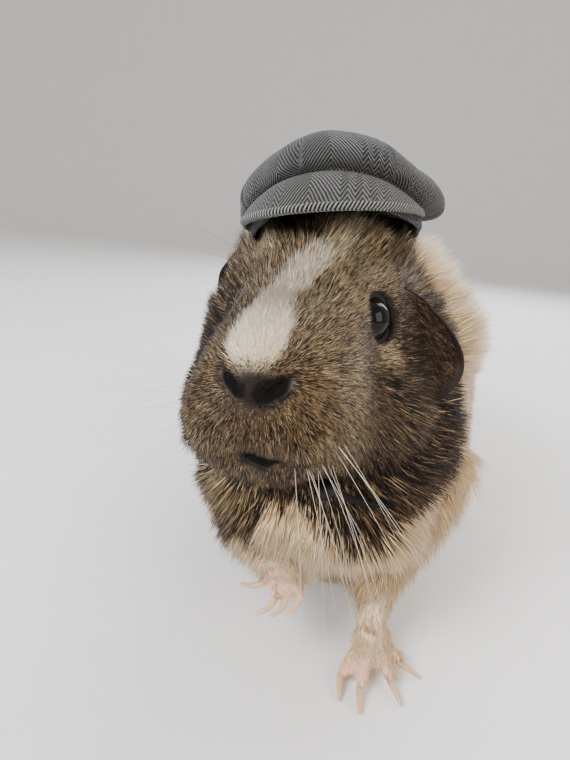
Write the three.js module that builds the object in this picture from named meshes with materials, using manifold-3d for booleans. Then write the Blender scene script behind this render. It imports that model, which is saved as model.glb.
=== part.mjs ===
// A guinea pig in a tweed cap, life size: it stands on its hind feet and left forefoot, right forepaw lifted.
// Millimetres, +Z up. The animal faces -Y and its own left is +X. The origin is on the floor, under the middle
// of the bounding box. Each body part is a closed solid out to the tips of its coat, and neighbours keep GAP
// between them.

import * as THREE from "three";
import { mergeVertices } from "three/addons/utils/BufferGeometryUtils.js";
import Module from "manifold-3d";

const wasm = await Module();
wasm.setup();

const { sin, cos, PI, abs, sign, sqrt, min } = Math;
const radians = THREE.MathUtils.degToRad;

// ---------------------------------------------------------------------------------------- driving dimensions

const GAP = 0.3; // between touching parts
const FINE = { rings: 13, sides: 30, capRings: 3 }; // how finely a lofted wall is divided
const COARSE = { rings: 9, sides: 22, capRings: 3 }; // the same where neighbours are cut with it
const CHORD = 0.8; // how far the coarse wall lies inside the fine one
const LEFT = 1;
const RIGHT = -1;
const FLOOR = 0;

// Stations run along a body part: the middle of a section, its half width, and its reach above and below.
const TORSO = [
  { x: -5, y: -99, z: 33, wide: 18, up: 8, down: 14 },
  { x: -4, y: -88, z: 39, wide: 29, up: 11, down: 27.5 },
  { x: -1, y: -62, z: 46, wide: 38, up: 19, down: 30 },
  { x: 0, y: -45, z: 49, wide: 41, up: 36, down: 31 },
  { x: 0, y: -28, z: 52, wide: 43, up: 56, down: 35 },
  { y: 4, z: 54, wide: 47, up: 60, down: 40 },
  { y: 38, z: 53, wide: 48, up: 56, down: 42 },
  { y: 70, z: 49, wide: 45, up: 50, down: 39 },
  { y: 97, z: 43, wide: 36.5, up: 39, down: 32 },
  { y: 118, z: 39, wide: 21, up: 22, down: 21 },
];
const TORSO_CUTS = { chest: -36, rump: 52 }; // planes that part the chest and the rump from the barrel

const NECK = [
  { x: -8, y: -95.5, z: 38, wide: 20, up: 8, down: 9 },
  { x: -7, y: -82, z: 45, wide: 31.5, up: 15, down: 18 },
  { x: -4, y: -66, z: 52, wide: 38.5, up: 19, down: 24 },
  { x: -2, y: -52, z: 57, wide: 40, up: 31, down: 18 },
  { x: -1, y: -40, z: 59, wide: 39, up: 49, down: 14 },
  { x: 1, y: -25, z: 61, wide: 32, up: 48, down: 10 },
];

// The head has a frame of its own: its origin is midway between the eyes, and -Y points to the nose.
const HEAD_POSE = { at: [-9.6, -74.6, 88.9], turn: radians(-7.5), lift: radians(-11), tilt: radians(-0.4) };
const HEAD = [
  { y: -39, z: -17.5, wide: 9.5, up: 9, down: 8 },
  { y: -31, z: -18.5, wide: 16.5, up: 17, down: 15.5 },
  { y: -20, z: -19, wide: 20.5, up: 26, down: 21 },
  { y: -8, z: -19, wide: 21, up: 41, down: 24 },
  { y: 4, z: -20, wide: 26.5, up: 47, down: 26 },
  { x: -1, y: 16, z: -21, wide: 36, up: 49, down: 27 },
  { x: -1, y: 32, z: -20, wide: 37, up: 45, down: 25 },
  { y: 47, z: -18, wide: 27, up: 33, down: 16 },
];
const HEAD_PEAR = 0.26; // how much narrower than its middle a section of the head is on top
const EYE = { at: [14, -1.7, 0.6], radius: 6.6, look: [0.88, -0.45, 0.17] };
const LIDS = { radius: 5.9, thick: 1.05, lift: 3.2 };
const EAR = { cup: 3.4, thick: 1.4 };
const EARS = {
  left: { side: LEFT, top: [18, 6, 13], bottom: [25, 10, -14], reach: 20, droop: 5 },
  right: { side: RIGHT, top: [21, 14, 22], bottom: [25, 18, 0], reach: 17, droop: 1 },
};

// Whiskers fan out from each side of the muzzle: the roots and directions of the first and the last.
const WHISKERS = {
  count: 5,
  roots: [[14, -30, -16], [14.5, -28.5, -29]],
  left: { toward: [[1, 0.2, -0.5], [0.35, 0.08, -1]], long: 29 },
  right: { toward: [[1, 0.25, 0.4], [1, 0.05, -0.3]], long: 39 },
  sunk: 3,
  radii: [0.45, 0.34],
  droop: 5,
};

// The cap's frame sits on the head's: its origin is in the middle of the band.
const CAP_POSE = { at: [0.6, 12.5, 20.5], lean: radians(6), tilt: radians(-8.4), turn: radians(5) };
const BAND = { wide: 24, long: 21, low: 6, high: 16, sag: 7, cloth: 2 };
const CROWN = {
  wide: 32.2, long: 29, back: 5.6, middle: 18.6, up: 10.5, down: 5.5, sag: 10.7, panels: 8, seam: 0.9,
};
const PEAK = { half: radians(74), reach: 9.4, root: 15, edge: 6.2, thick: 2.8 };
const BUTTON = { radius: 4, tall: 2.2 };

// The strap runs from the throat to the nape of the head's frame (y, z), bowed back behind the ears.
const STRAP = {
  throat: [-15, -43], nape: [38, 20], bow: 0.6, radius: 1.2, sunk: 1.3, steps: 20, sweep: radians(150),
};
const BEAD = { step: 11, radius: 2.3, stretch: 1.35, proud: 0.9 }; // on the strap, at one of its steps
const CLAW = { long: 5.6, radius: 0.85, seat: 1.4 };

// --------------------------------------------------------------------------------------- meshes and booleans

const vec = (x = 0, y = 0, z = 0) => new THREE.Vector3(x, y, z);
const mix = (a, b, t) => a + (b - a) * t;
const mixPoints = (a, b, t) => a.map((value, axis) => mix(value, b[axis], t));
const range = (count, make) => Array.from({ length: count }, (_, i) => make(i));

function signedVolume(geometry) {
  const p = geometry.getAttribute("position");
  const index = geometry.index.array;
  const corners = [vec(), vec(), vec()];
  let volume = 0;
  for (let i = 0; i < index.length; i += 3) {
    corners.forEach((corner, k) => corner.fromBufferAttribute(p, index[i + k]));
    volume += corners[0].dot(corners[1].cross(corners[2])) / 6;
  }
  return volume;
}

// A closed geometry through rings of points, with a fan on each end, its faces pointing out.
function throughRings(rings) {
  const sides = rings[0].length;
  const points = rings.flat();
  const faces = [];
  for (let i = 0; i + 1 < rings.length; i++) {
    for (let j = 0; j < sides; j++) {
      const a = i * sides + j;
      const b = i * sides + ((j + 1) % sides);
      faces.push(a, b, a + sides, b, b + sides, a + sides);
    }
  }
  const last = rings.length - 1;
  for (const end of [0, last]) {
    const middle = points.length;
    points.push(rings[end].reduce((sum, p) => sum.add(p), vec()).divideScalar(sides));
    for (let j = 0; j < sides; j++) {
      const a = end * sides + j;
      const b = end * sides + ((j + 1) % sides);
      faces.push(...(end === last ? [a, b, middle] : [b, a, middle]));
    }
  }
  const geometry = new THREE.BufferGeometry().setFromPoints(points);
  geometry.setIndex(faces);
  if (signedVolume(geometry) < 0) {
    geometry.setIndex(faces.reverse());
  }
  return geometry;
}

function bare(geometry) {
  const copy = geometry.clone();
  copy.deleteAttribute("normal");
  copy.deleteAttribute("uv");
  return mergeVertices(copy, 1e-4);
}

function solid(geometry) {
  const { attributes, index } = bare(geometry);
  const vertProperties = new Float32Array(attributes.position.array);
  const triVerts = new Uint32Array(index.array);
  return new wasm.Manifold(new wasm.Mesh({ numProp: 3, vertProperties, triVerts }));
}

// The largest closed body of what a join or cut made.
function largestOf(made) {
  const body = made.decompose().reduce((a, b) => (a.volume() > b.volume() ? a : b));
  const mesh = body.getMesh();
  const position = new Float32Array(mesh.numVert * 3);
  for (let i = 0; i < mesh.numVert; i++) {
    position.set(mesh.vertProperties.subarray(i * mesh.numProp, i * mesh.numProp + 3), i * 3);
  }
  const geometry = new THREE.BufferGeometry();
  geometry.setAttribute("position", new THREE.BufferAttribute(position, 3));
  geometry.setIndex(new THREE.BufferAttribute(new Uint32Array(mesh.triVerts), 1));
  return geometry;
}

const fuse = (...pieces) => largestOf(pieces.map(solid).reduce((a, b) => a.add(b)));
const cut = (piece, ...tools) => largestOf(tools.map(solid).reduce((a, b) => a.subtract(b), solid(piece)));
const common = (piece, other) => largestOf(solid(piece).intersect(solid(other)));

// The geometry swollen along its normals, as its neighbours are cut with it to keep their gap.
function grown(geometry, by = GAP) {
  const swollen = bare(geometry);
  swollen.computeVertexNormals();
  const p = swollen.getAttribute("position");
  const n = swollen.getAttribute("normal");
  for (let i = 0; i < p.count; i++) {
    p.setXYZ(i, p.getX(i) + n.getX(i) * by, p.getY(i) + n.getY(i) * by, p.getZ(i) + n.getZ(i) * by);
  }
  return swollen;
}

// -------------------------------------------------------------------------------------------- lofted shapes

const spline = (points) => new THREE.CatmullRomCurve3(points.map((p) => vec(...p)), false, "catmullrom", 0.5);

// How full a rounded end is at share u of the length: 0 at the pole and 1 past the rounding.
const fullness = (u, rounding) => (u >= rounding ? 1 : sqrt(1 - (1 - u / rounding) ** 2));

// Shares of the length where rings lie, set closer together in the two rounded ends.
function ringShares({ rings, capRings, roundStart, roundEnd }) {
  const cap = range(capRings, (i) => 1 - cos((PI / 2) * ((i + 0.4) / capRings)));
  const middle = range(rings + 1, (i) => mix(roundStart, 1 - roundEnd, i / rings));
  return [...cap.map((u) => u * roundStart), ...middle, ...cap.map((u) => 1 - u * roundEnd).reverse()];
}

// The wall of a body lofted along a smooth line through its stations, as a function of the share u of its
// length and the angle round it. `square` is the superellipse power of a section and `squareTop` that of its upper
// half, `pear` how much narrower it is on top, and `upright` the direction that `up` is measured in. Each swell
// pushes the wall out by `rise` near a point.
function wallOf(stations, options) {
  const { roundStart, roundEnd, pear = 0, upright = [0, 0, 1], swells = [] } = options;
  const { square = 2.1, squareTop = square } = options;
  const line = spline(stations.map((s) => [s.x ?? 0, s.y, s.z]));
  const sizes = spline(stations.map((s) => [s.wide, s.up ?? s.wide, s.down ?? s.up ?? s.wide]));
  return (u, angle) => {
    const point = line.getPoint(u);
    const along = line.getTangent(u);
    const side = vec().crossVectors(along, vec(...upright)).normalize();
    const up = vec().crossVectors(side, along);
    const full = min(fullness(u, roundStart), fullness(1 - u, roundEnd));
    const size = sizes.getPoint(u).multiplyScalar(full);
    const power = 2 / (sin(angle) > 0 ? squareTop : square);
    const width = size.x * (1 - pear * sin(angle));
    const across = width * sign(cos(angle)) * abs(cos(angle)) ** power;
    const rise = (sin(angle) > 0 ? size.y : size.z) * sign(sin(angle)) * abs(sin(angle)) ** power;
    const out = side.multiplyScalar(across).addScaledVector(up, rise);
    point.add(out);
    const push = swells.reduce((sum, swell) => {
      const far = point.distanceTo(vec(...swell.at)) / swell.reach;
      return sum + swell.rise * Math.exp(-far * far);
    }, 0);
    return point.addScaledVector(out.normalize(), push);
  };
}

function loft(stations, given = {}) {
  const options = { rings: 12, sides: 24, capRings: 4, roundStart: 0.1, roundEnd: 0.1, ...given };
  const wall = wallOf(stations, options);
  const angles = range(options.sides, (j) => (2 * PI * (j + 0.5)) / options.sides);
  return throughRings(ringShares(options).map((u) => angles.map((angle) => wall(u, angle))));
}

// A round tube along points, whose radius runs through the given radii.
function tube(points, radii, given = {}) {
  const size = spline(radii.map((r) => [r, 0, 0]));
  const stations = points.map(([x, y, z], i) => ({ x, y, z, wide: size.getPoint(i / (points.length - 1)).x }));
  return loft(stations, { rings: 10, sides: 10, capRings: 2, square: 2, roundStart: 0.06, roundEnd: 0.06, ...given });
}

const onSide = (points, side) => points.map(([x, y, z]) => [x * side, y, z]);
const stationsOnSide = (stations, side) => stations.map((s) => ({ ...s, x: s.x * side }));
const bothSides = (swell) => [LEFT, RIGHT].map((side) => ({ ...swell, at: onSide([swell.at], side)[0] }));

// ------------------------------------------------------------------------------------------------ the head

const headPlace = new THREE.Matrix4().compose(
  vec(...HEAD_POSE.at),
  new THREE.Quaternion().setFromEuler(new THREE.Euler(HEAD_POSE.lift, HEAD_POSE.tilt, HEAD_POSE.turn, "ZXY")),
  vec(1, 1, 1),
);
const onHead = (geometry) => geometry.applyMatrix4(headPlace);

const headShape = (detail) => loft(HEAD, {
  ...detail,
  roundStart: 0.09,
  roundEnd: 0.2,
  square: 2.2,
  squareTop: 2.6,
  pear: HEAD_PEAR,
  swells: [
    ...bothSides({ at: [11, -33, -24], reach: 8, rise: 1.8 }), // whisker pads
    ...bothSides({ at: [15, -3, 9], reach: 7, rise: 1 }), // brows
    ...bothSides({ at: [13, 1, 20], reach: 9, rise: 4 }), // fur that the cap presses out
    { at: [0, -8, 21], reach: 9, rise: 2 }, // the same over the forehead
    ...bothSides({ at: [21, 7, 12], reach: 10, rise: 4.5 }), // the same at its sides
    ...bothSides({ at: [27, 8, -1], reach: 12, rise: 4.5 }), // temples
    ...bothSides({ at: [19, -2, 0], reach: 8, rise: -3.6 }), // sockets
    ...bothSides({ at: [29, 5, -28], reach: 14, rise: 6 }), // cheeks
    { at: [0, -26, -39], reach: 8, rise: 1.2 }, // chin
    { at: [0, -26, -2], reach: 9, rise: 0.8 }, // bridge of the nose
  ],
});

function eyeball(side) {
  const [x, y, z] = EYE.at;
  return new THREE.SphereGeometry(EYE.radius, 14, 9).rotateZ(PI / 2).translate(x * side, y, z);
}

// The lids are one closed rim round the eye.
function lids(side) {
  const look = vec(EYE.look[0] * side, EYE.look[1], EYE.look[2]).normalize();
  const turn = new THREE.Quaternion().setFromUnitVectors(vec(0, 0, 1), look);
  const [x, y, z] = EYE.at;
  const middle = vec(x * side, y, z).addScaledVector(look, LIDS.lift);
  return new THREE.TorusGeometry(LIDS.radius, LIDS.thick, 5, 15).applyQuaternion(turn).translate(...middle);
}

// A nostril is a comma: a round opening, drawn out to the side and up.
function nostril(side) {
  const line = [[2.9, -39, -17.6], [4.6, -38.2, -16.4], [6.8, -36.6, -14.6], [8, -34.8, -13]];
  return tube(onSide(line, side), [1.6, 1.9, 1.2, 0.6], { rings: 4, sides: 7, capRings: 1, upright: [0, 1, 0] });
}

const mouthLine = () => tube(
  [[-9.5, -31, -34], [-5.5, -34.4, -32.2], [0, -35.9, -30.8], [5.5, -34.4, -32.2], [9.5, -31, -34]],
  [0.6, 1.1, 1.2, 1.1, 0.6],
  { rings: 7, sides: 6, capRings: 1 },
);

const cleft = () => tube(
  [[0, -39.6, -21.5], [0, -38.6, -26], [0, -36.6, -30.4]],
  [0.5, 0.7, 0.7],
  { rings: 3, sides: 6, capRings: 1, upright: [0, 1, 0] },
);

// A lip is a soft roll along one side of the mouth, mostly sunk in the muzzle.
function lip(side, lower) {
  const line = lower
    ? [[1, -32.8, -32.8], [5.6, -31.4, -34.4], [9.4, -28, -36]]
    : [[1.3, -35, -28.7], [5.8, -33.9, -30.2], [9.8, -31.2, -32]];
  return tube(onSide(line, side), [1.8, 1.9, 1.1], { rings: 3, sides: 6, capRings: 1 });
}

// One side's whiskers, each bending down under its weight.
function whiskers(side) {
  const { toward, long } = side === LEFT ? WHISKERS.left : WHISKERS.right;
  return range(WHISKERS.count, (i) => {
    const place = i / (WHISKERS.count - 1);
    const root = vec(...mixPoints(...WHISKERS.roots, place));
    const ahead = vec(...mixPoints(...toward, place)).normalize();
    const line = [0, 1 / 3, 2 / 3, 1].map((share) => {
      const far = mix(-WHISKERS.sunk, long, share);
      return root.clone().addScaledVector(ahead, far).add(vec(0, 0, -WHISKERS.droop * share ** 2)).toArray();
    });
    const options = { rings: 3, sides: 3, capRings: 0, upright: [0, 1, 0], roundStart: 0.002, roundEnd: 0.002 };
    return tube(onSide(line, side), WHISKERS.radii, options);
  });
}

function makeHead() {
  const rolls = [LEFT, RIGHT].flatMap((side) => [lids(side), lip(side, false), lip(side, true)]);
  const whole = fuse(headShape(FINE), ...rolls, ...whiskers(LEFT), ...whiskers(RIGHT));
  const eyes = [LEFT, RIGHT].map((side) => grown(eyeball(side)));
  return cut(whole, ...eyes, nostril(LEFT), nostril(RIGHT), mouthLine(), cleft());
}

// An ear is a cupped petal that hangs from its root line, its hollow side forward.
function ear({ side, top, bottom, reach, droop }) {
  const rows = 12;
  const deep = 4;
  const petal = (down, outward, face) => {
    const root = mixPoints(top, bottom, down);
    const round = sqrt(sin(PI * down ** 1.2));
    const far = reach * round * outward;
    const hollow = EAR.cup * (1 - outward ** 2) * round + 1.4 * outward ** 3;
    const thick = EAR.thick * (0.5 - 0.14 * outward) * face;
    const sag = droop * outward ** 2 * (0.3 + down);
    return vec((root[0] + far * 0.93) * side, root[1] + far * 0.35 + hollow + thick, root[2] - sag);
  };
  return throughRings(range(rows + 1, (i) => {
    const down = mix(0.02, 0.98, i / rows);
    const front = range(deep + 1, (j) => petal(down, j / deep, -1));
    const back = range(deep + 1, (j) => petal(down, 1 - j / deep, 1));
    return [...front, ...back];
  }));
}

// ------------------------------------------------------------------------------------------------- the cap

const capPlace = new THREE.Matrix4()
  .makeRotationFromEuler(new THREE.Euler(CAP_POSE.lean, CAP_POSE.tilt, CAP_POSE.turn))
  .setPosition(...CAP_POSE.at)
  .premultiply(headPlace);
const onCap = (geometry) => geometry.applyMatrix4(capPlace);

const ovalRing = (wide, long, z, sag = 0, count = 24) => range(count, (j) => {
  const a = (2 * PI * (j + 0.5)) / count;
  return vec(wide * cos(a), long * sin(a), z - sag * cos(a) ** 2);
});

// The crown is a padded cushion of panels, pinched in along its seams and drawn down at the sides.
function crownShape() {
  const levels = 9;
  const sides = 4 * CROWN.panels;
  return throughRings(range(levels + 1, (i) => {
    const rise = mix(-PI / 2, PI / 2, (i + 0.35) / (levels + 0.7));
    const out = cos(rise) ** 0.7;
    const height = rise > 0 ? CROWN.up * sin(rise) : CROWN.down * sin(rise);
    return range(sides, (j) => {
      const a = (2 * PI * j) / sides;
      const pinch = (CROWN.seam * (1 - abs(cos((CROWN.panels / 2) * a)) ** 0.6)) / CROWN.wide;
      const sag = CROWN.sag * cos(a) ** 2 * out;
      const r = out * (1 - pinch);
      return vec(CROWN.wide * r * cos(a), CROWN.back + CROWN.long * r * sin(a), CROWN.middle + height - sag);
    });
  }));
}

function bandShape() {
  const grow = (by, z) => ovalRing(BAND.wide + by, BAND.long + by, z, BAND.sag);
  const outer = throughRings([grow(0, BAND.low), grow(0.5, (BAND.low + BAND.high) / 2), grow(0, BAND.high)]);
  const inner = throughRings([grow(-BAND.cloth, BAND.low - 1), grow(-BAND.cloth, BAND.high + 1)]);
  return cut(outer, inner);
}

// The peak is a crescent plate, arched across and sloping down to its rounded edge.
function peakShape() {
  const across = 16;
  const deep = 2;
  const plate = (s, v, face) => {
    const a = s * PEAK.half;
    const full = (1 - s * s) ** 0.6;
    const x = (BAND.wide - 0.4 + 1.5 * v) * sin(a);
    const y = -(BAND.long - 0.4) * cos(a) - PEAK.reach * full * v;
    const root = PEAK.root - 10 * s * s;
    const z = mix(root, PEAK.edge, v) + 1.3 * sin(PI * v) * full;
    return vec(x, y, z + face * (PEAK.thick / 2) * (v === 1 ? 0.8 : 1));
  };
  return throughRings(range(across + 1, (i) => {
    const s = mix(-0.985, 0.985, i / across);
    const top = range(deep + 1, (j) => plate(s, j / deep, 1));
    const under = range(deep + 1, (j) => plate(s, 1 - j / deep, -1));
    return [...top, ...under];
  }));
}

function buttonShape() {
  const { radius, tall } = BUTTON;
  const profile = [[0, -1.5], [radius, -1.5], [radius, 0.6], [radius * 0.7, tall * 0.8], [0, tall]];
  return new THREE.LatheGeometry(profile.map(([r, z]) => new THREE.Vector2(r, z)), 14)
    .rotateX(PI / 2)
    .translate(0, CROWN.back, CROWN.middle + CROWN.up);
}

// The strap's line lies on the coat, where rays spread from the middle of its loop leave the coat last.
function strapLine(coat) {
  const [throat, nape] = [STRAP.throat, STRAP.nape].map(([y, z]) => vec(0, y, z).applyMatrix4(headPlace));
  const middle = throat.clone().lerp(nape, 0.5);
  const down = throat.clone().sub(nape).normalize();
  const across = vec(1, 0, 0).transformDirection(headPlace);
  const back = vec().crossVectors(across, down).multiplyScalar(STRAP.bow);
  const target = new THREE.Mesh(coat, new THREE.MeshBasicMaterial({ side: THREE.DoubleSide }));
  return range(STRAP.steps + 1, (i) => {
    const angle = mix(-STRAP.sweep, STRAP.sweep, i / STRAP.steps);
    const ray = down.clone().multiplyScalar(cos(angle)).addScaledVector(across, sin(angle));
    ray.addScaledVector(back, sin(angle) ** 2).normalize();
    const hits = new THREE.Raycaster(middle, ray).intersectObject(target);
    return hits.at(-1).point.addScaledVector(ray, -STRAP.sunk).toArray();
  });
}

function strapShape(line, room = 0) {
  const upright = vec(1, 0, 0).cross(vec(0, STRAP.nape[0] - STRAP.throat[0], STRAP.nape[1] - STRAP.throat[1]));
  const options = { rings: STRAP.steps, sides: 5, capRings: 0, roundStart: 0.002, roundEnd: 0.002 };
  const radius = STRAP.radius + room;
  return tube(line, [radius, radius], { ...options, upright: upright.normalize().toArray() });
}

function beadShape(line) {
  const throat = vec(0, ...STRAP.throat).applyMatrix4(headPlace);
  const place = vec(...line[BEAD.step]);
  const out = place.clone().sub(throat).normalize();
  place.addScaledVector(out, BEAD.proud);
  return new THREE.SphereGeometry(BEAD.radius, 10, 6).scale(BEAD.stretch, 1, 1).translate(...place);
}

// ----------------------------------------------------------------------------------------- limbs and feet

const forelegLeft = () => loft(
  [
    { x: 31, y: -48, z: 56, wide: 11, up: 12 },
    { x: 31, y: -56, z: 47, wide: 13.5, up: 15 },
    { x: 26, y: -66, z: 36, wide: 12.5, up: 13 },
    { x: 20, y: -76, z: 25, wide: 9, up: 9 },
    { x: 16.8, y: -85, z: 14, wide: 5.4, up: 5.4 },
    { x: 17, y: -88, z: 8, wide: 4, up: 4 },
  ],
  { rings: 6, sides: 14, capRings: 2, upright: [0, -1, 0.2], roundStart: 0.22, roundEnd: 0.05 },
);

const forelegRight = () => loft(
  [
    { x: -29, y: -50, z: 54, wide: 11, up: 12 },
    { x: -31, y: -60, z: 45, wide: 12.5, up: 13.5 },
    { x: -27, y: -74, z: 36, wide: 10, up: 10 },
    { x: -18, y: -87, z: 31, wide: 6.5, up: 6.5 },
    { x: -9, y: -96.5, z: 28.5, wide: 4, up: 4 },
  ],
  { rings: 6, sides: 14, capRings: 2, roundStart: 0.22, roundEnd: 0.06 },
);

function hindleg(side) {
  const thigh = loft(
    stationsOnSide([
      { x: 29, y: 90, z: 64, wide: 13, up: 15 },
      { x: 34, y: 79, z: 52, wide: 15.5, up: 24 },
      { x: 37, y: 64, z: 38, wide: 14, up: 23 },
      { x: 38, y: 50, z: 25, wide: 9, up: 13 },
    ], side),
    { rings: 4, sides: 14, capRings: 2, upright: [0, -0.6, 0.8], roundStart: 0.25, roundEnd: 0.25 },
  );
  const shank = loft(
    stationsOnSide([
      { x: 38, y: 52, z: 21, wide: 8.5, up: 9.5 },
      { x: 37.5, y: 68, z: 16, wide: 8, up: 8.5 },
      { x: 37, y: 88, z: 10.5, wide: 6, up: 6.5 },
    ], side),
    { rings: 3, sides: 10, capRings: 2, roundStart: 0.2, roundEnd: 0.12 },
  );
  return fuse(thigh, shank);
}

const forefootPad = () => loft(
  [
    { x: 17.5, y: -85.5, z: 8.4, wide: 3.9, up: 4 },
    { x: 17.5, y: -88, z: 6, wide: 4.6, up: 3.8, down: 5.6 },
    { x: 17.6, y: -91.5, z: 4, wide: 5.2, up: 3, down: 5 },
    { x: 17.6, y: -95.5, z: 3, wide: 4.6, up: 2.2, down: 3.8 },
  ],
  { rings: 2, sides: 10, capRings: 2, roundStart: 0.12, roundEnd: 0.25 },
);

const forepawPad = () => loft(
  [
    { x: -10.5, y: -94, z: 29.5, wide: 3.9, up: 3.9 },
    { x: -8.2, y: -97, z: 28, wide: 5, up: 3.6 },
    { x: -7.2, y: -98.5, z: 25, wide: 5, up: 3 },
  ],
  { rings: 2, sides: 10, capRings: 2, upright: [0, -1, 0.4], roundStart: 0.15, roundEnd: 0.3 },
);

const hindfootPad = (side) => loft(
  stationsOnSide([
    { x: 37, y: 93, z: 5.6, wide: 4.4, up: 4.6, down: 6 },
    { x: 36.6, y: 82, z: 5, wide: 4.8, up: 4.6, down: 5.6 },
    { x: 36, y: 68, z: 4.6, wide: 6, up: 4.2, down: 5.2 },
    { x: 35.8, y: 54, z: 4, wide: 6.6, up: 3, down: 4.6 },
  ], side),
  { rings: 4, sides: 10, capRings: 2, roundStart: 0.12, roundEnd: 0.14 },
);

// Toes: from root to tip, arched, the claw leaving the tip along `along`.
const FOREFOOT_TOES = [
  { root: [15.4, -91, 4.8], tip: [10.4, -101.5, 2.1], along: [0.1, -1, -0.12], arch: 0.9, radius: 1.9 },
  { root: [17, -92, 5], tip: [15.6, -104, 2.1], along: [0.1, -1, -0.1], arch: 1, radius: 2 },
  { root: [18.6, -91, 4.8], tip: [23.4, -99.6, 2.1], along: [0.55, -1, -0.1], arch: 1, radius: 1.95 },
  { root: [19.4, -88.5, 4.6], tip: [25.8, -92, 2.1], along: [1, -0.4, -0.1], arch: 0.9, radius: 1.85 },
];

const FOREPAW_TOES = [
  { root: [-11, -96.5, 27], tip: [-12.4, -98.4, 22.6], along: [-0.75, -0.2, -0.65], arch: 0.3, radius: 1.6 },
  { root: [-9, -97.5, 26.5], tip: [-8.6, -99.2, 19], along: [-0.1, -0.1, -1], arch: 0, radius: 1.7 },
  { root: [-6.8, -97.5, 26.5], tip: [-5.6, -99, 19.4], along: [0.05, -0.1, -1], arch: 0, radius: 1.7 },
  { root: [-4.6, -96.8, 27], tip: [-2.2, -98.2, 21], along: [0.2, -0.1, -1], arch: 0, radius: 1.6 },
];

const hindfootToes = (side) => [
  { root: [33, 58, 5.4], tip: [29, 45.5, 2.3], along: [-0.3, -1, -0.1], arch: 1.2, radius: 2.2 },
  { root: [36, 57, 5.6], tip: [35.5, 42.5, 2.4], along: [-0.03, -1, -0.1], arch: 1.3, radius: 2.3 },
  { root: [38.8, 58, 5.4], tip: [42, 46.5, 2.3], along: [0.3, -1, -0.1], arch: 1.2, radius: 2.2 },
].map((toe) => {
  const [root, tip, along] = onSide([toe.root, toe.tip, toe.along], side);
  return { ...toe, root, tip, along };
});

function toeShape({ root, tip, arch, radius }) {
  const at = (t) => mixPoints(root, tip, t).map((value, axis) => value + (axis === 2 ? arch * sin(PI * t) : 0));
  const radii = [radius, radius * 0.9, radius, radius * 0.75];
  return tube([0, 0.35, 0.7, 1].map(at), radii, { rings: 2, sides: 6, capRings: 1, upright: [0.1, 0.2, 1] });
}

// A claw leaves its toe's tip along the toe and curls towards `bend`.
function clawShape({ tip, along }, bend, curl) {
  const forward = vec(...along).normalize();
  const turn = vec(...bend).addScaledVector(forward, -forward.dot(vec(...bend))).normalize();
  const steps = 4;
  const points = [vec(...tip).addScaledVector(forward, -CLAW.seat)];
  for (let i = 0; i < steps; i++) {
    const angle = (curl * (i + 0.3)) / steps;
    const step = forward.clone().multiplyScalar(cos(angle)).addScaledVector(turn, sin(angle));
    points.push(points[i].clone().addScaledVector(step, (CLAW.long + CLAW.seat) / steps));
  }
  const radii = [1, 1, 0.8, 0.55, 0.3].map((share) => share * CLAW.radius);
  const upright = vec().crossVectors(forward, turn).toArray();
  const options = { rings: 3, sides: 5, capRings: 0, upright, roundStart: 0.01, roundEnd: 0.01 };
  return tube(points.map((p) => p.toArray()), radii, options);
}

// A foot is a pad with its toes fused on, planed flat on the floor; each claw seats in its toe.
function makeFoot({ pad, toes, bend, curl }) {
  const below = new THREE.BoxGeometry(300, 400, 40).translate(0, 0, FLOOR - 20);
  const claws = toes.map((toe) => clawShape(toe, bend, curl));
  const foot = cut(fuse(pad, ...toes.map(toeShape)), ...claws.map((claw) => grown(claw)), below);
  return { foot, claws };
}

// ------------------------------------------------------------------------------------------------ assembly

const finish = (color, roughness) => new THREE.MeshStandardMaterial({ color, roughness, metalness: 0 });
const agouti = finish(0x7d6a55, 0.9);
const cream = finish(0xe6d6bb, 0.9);
const skin = finish(0xe2b7a4, 0.6);
const horn = finish(0xe8d9c0, 0.4);
const eyeGloss = finish(0x0d0908, 0.08);
const earSkin = finish(0x4b3024, 0.6);
const tweed = finish(0x5b5b57, 0.95);
const elastic = finish(0x141416, 0.6);

const animal = new THREE.Group();

function addNode(name, geometry, material) {
  const mesh = new THREE.Mesh(geometry, material);
  mesh.name = name;
  animal.add(mesh);
}

const headPlain = onHead(headShape(COARSE));
const neckShape = (detail) => loft(NECK, { ...detail, roundStart: 0.12, roundEnd: 0.16 });
const neckPlain = neckShape(COARSE);
const [headCut, neckCut] = [headPlain, neckPlain].map((shape) => grown(shape, GAP + CHORD));

const crown = onCap(crownShape());
const button = onCap(buttonShape());
const bandWhole = onCap(bandShape());
const capCuts = [crown, bandWhole].map((made) => grown(made));
const band = cut(bandWhole, capCuts[0], headCut, neckCut);
const peak = cut(onCap(peakShape()), ...capCuts, headCut);
const route = strapLine(fuse(headPlain, neckPlain));
const bead = beadShape(route);
const strap = cut(strapShape(route), ...capCuts);
const strapRoom = strapShape(route, GAP);
const groove = fuse(strapRoom, grown(bead));
const ears = [EARS.left, EARS.right].map((made) => onHead(ear(made)));

addNode("head", cut(onHead(makeHead()), groove), agouti);
addNode("left_eye", onHead(eyeball(LEFT)), eyeGloss);
addNode("right_eye", onHead(eyeball(RIGHT)), eyeGloss);
addNode("left_ear", cut(ears[0], headCut, ...capCuts), earSkin);
addNode("right_ear", cut(ears[1], headCut, ...capCuts), earSkin);
addNode("cap_crown", cut(crown, grown(button), headCut, neckCut), tweed);
addNode("cap_band", band, tweed);
addNode("cap_peak", peak, tweed);
addNode("cap_button", button, tweed);
addNode("chin_strap", strap, elastic);
addNode("strap_bead", cut(bead, strapRoom), elastic);
const neckFine = neckShape({ rings: 9, sides: 24, capRings: 2 });
addNode("neck", cut(neckFine, headCut, groove, ...ears.map((made) => grown(made))), agouti);

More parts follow.
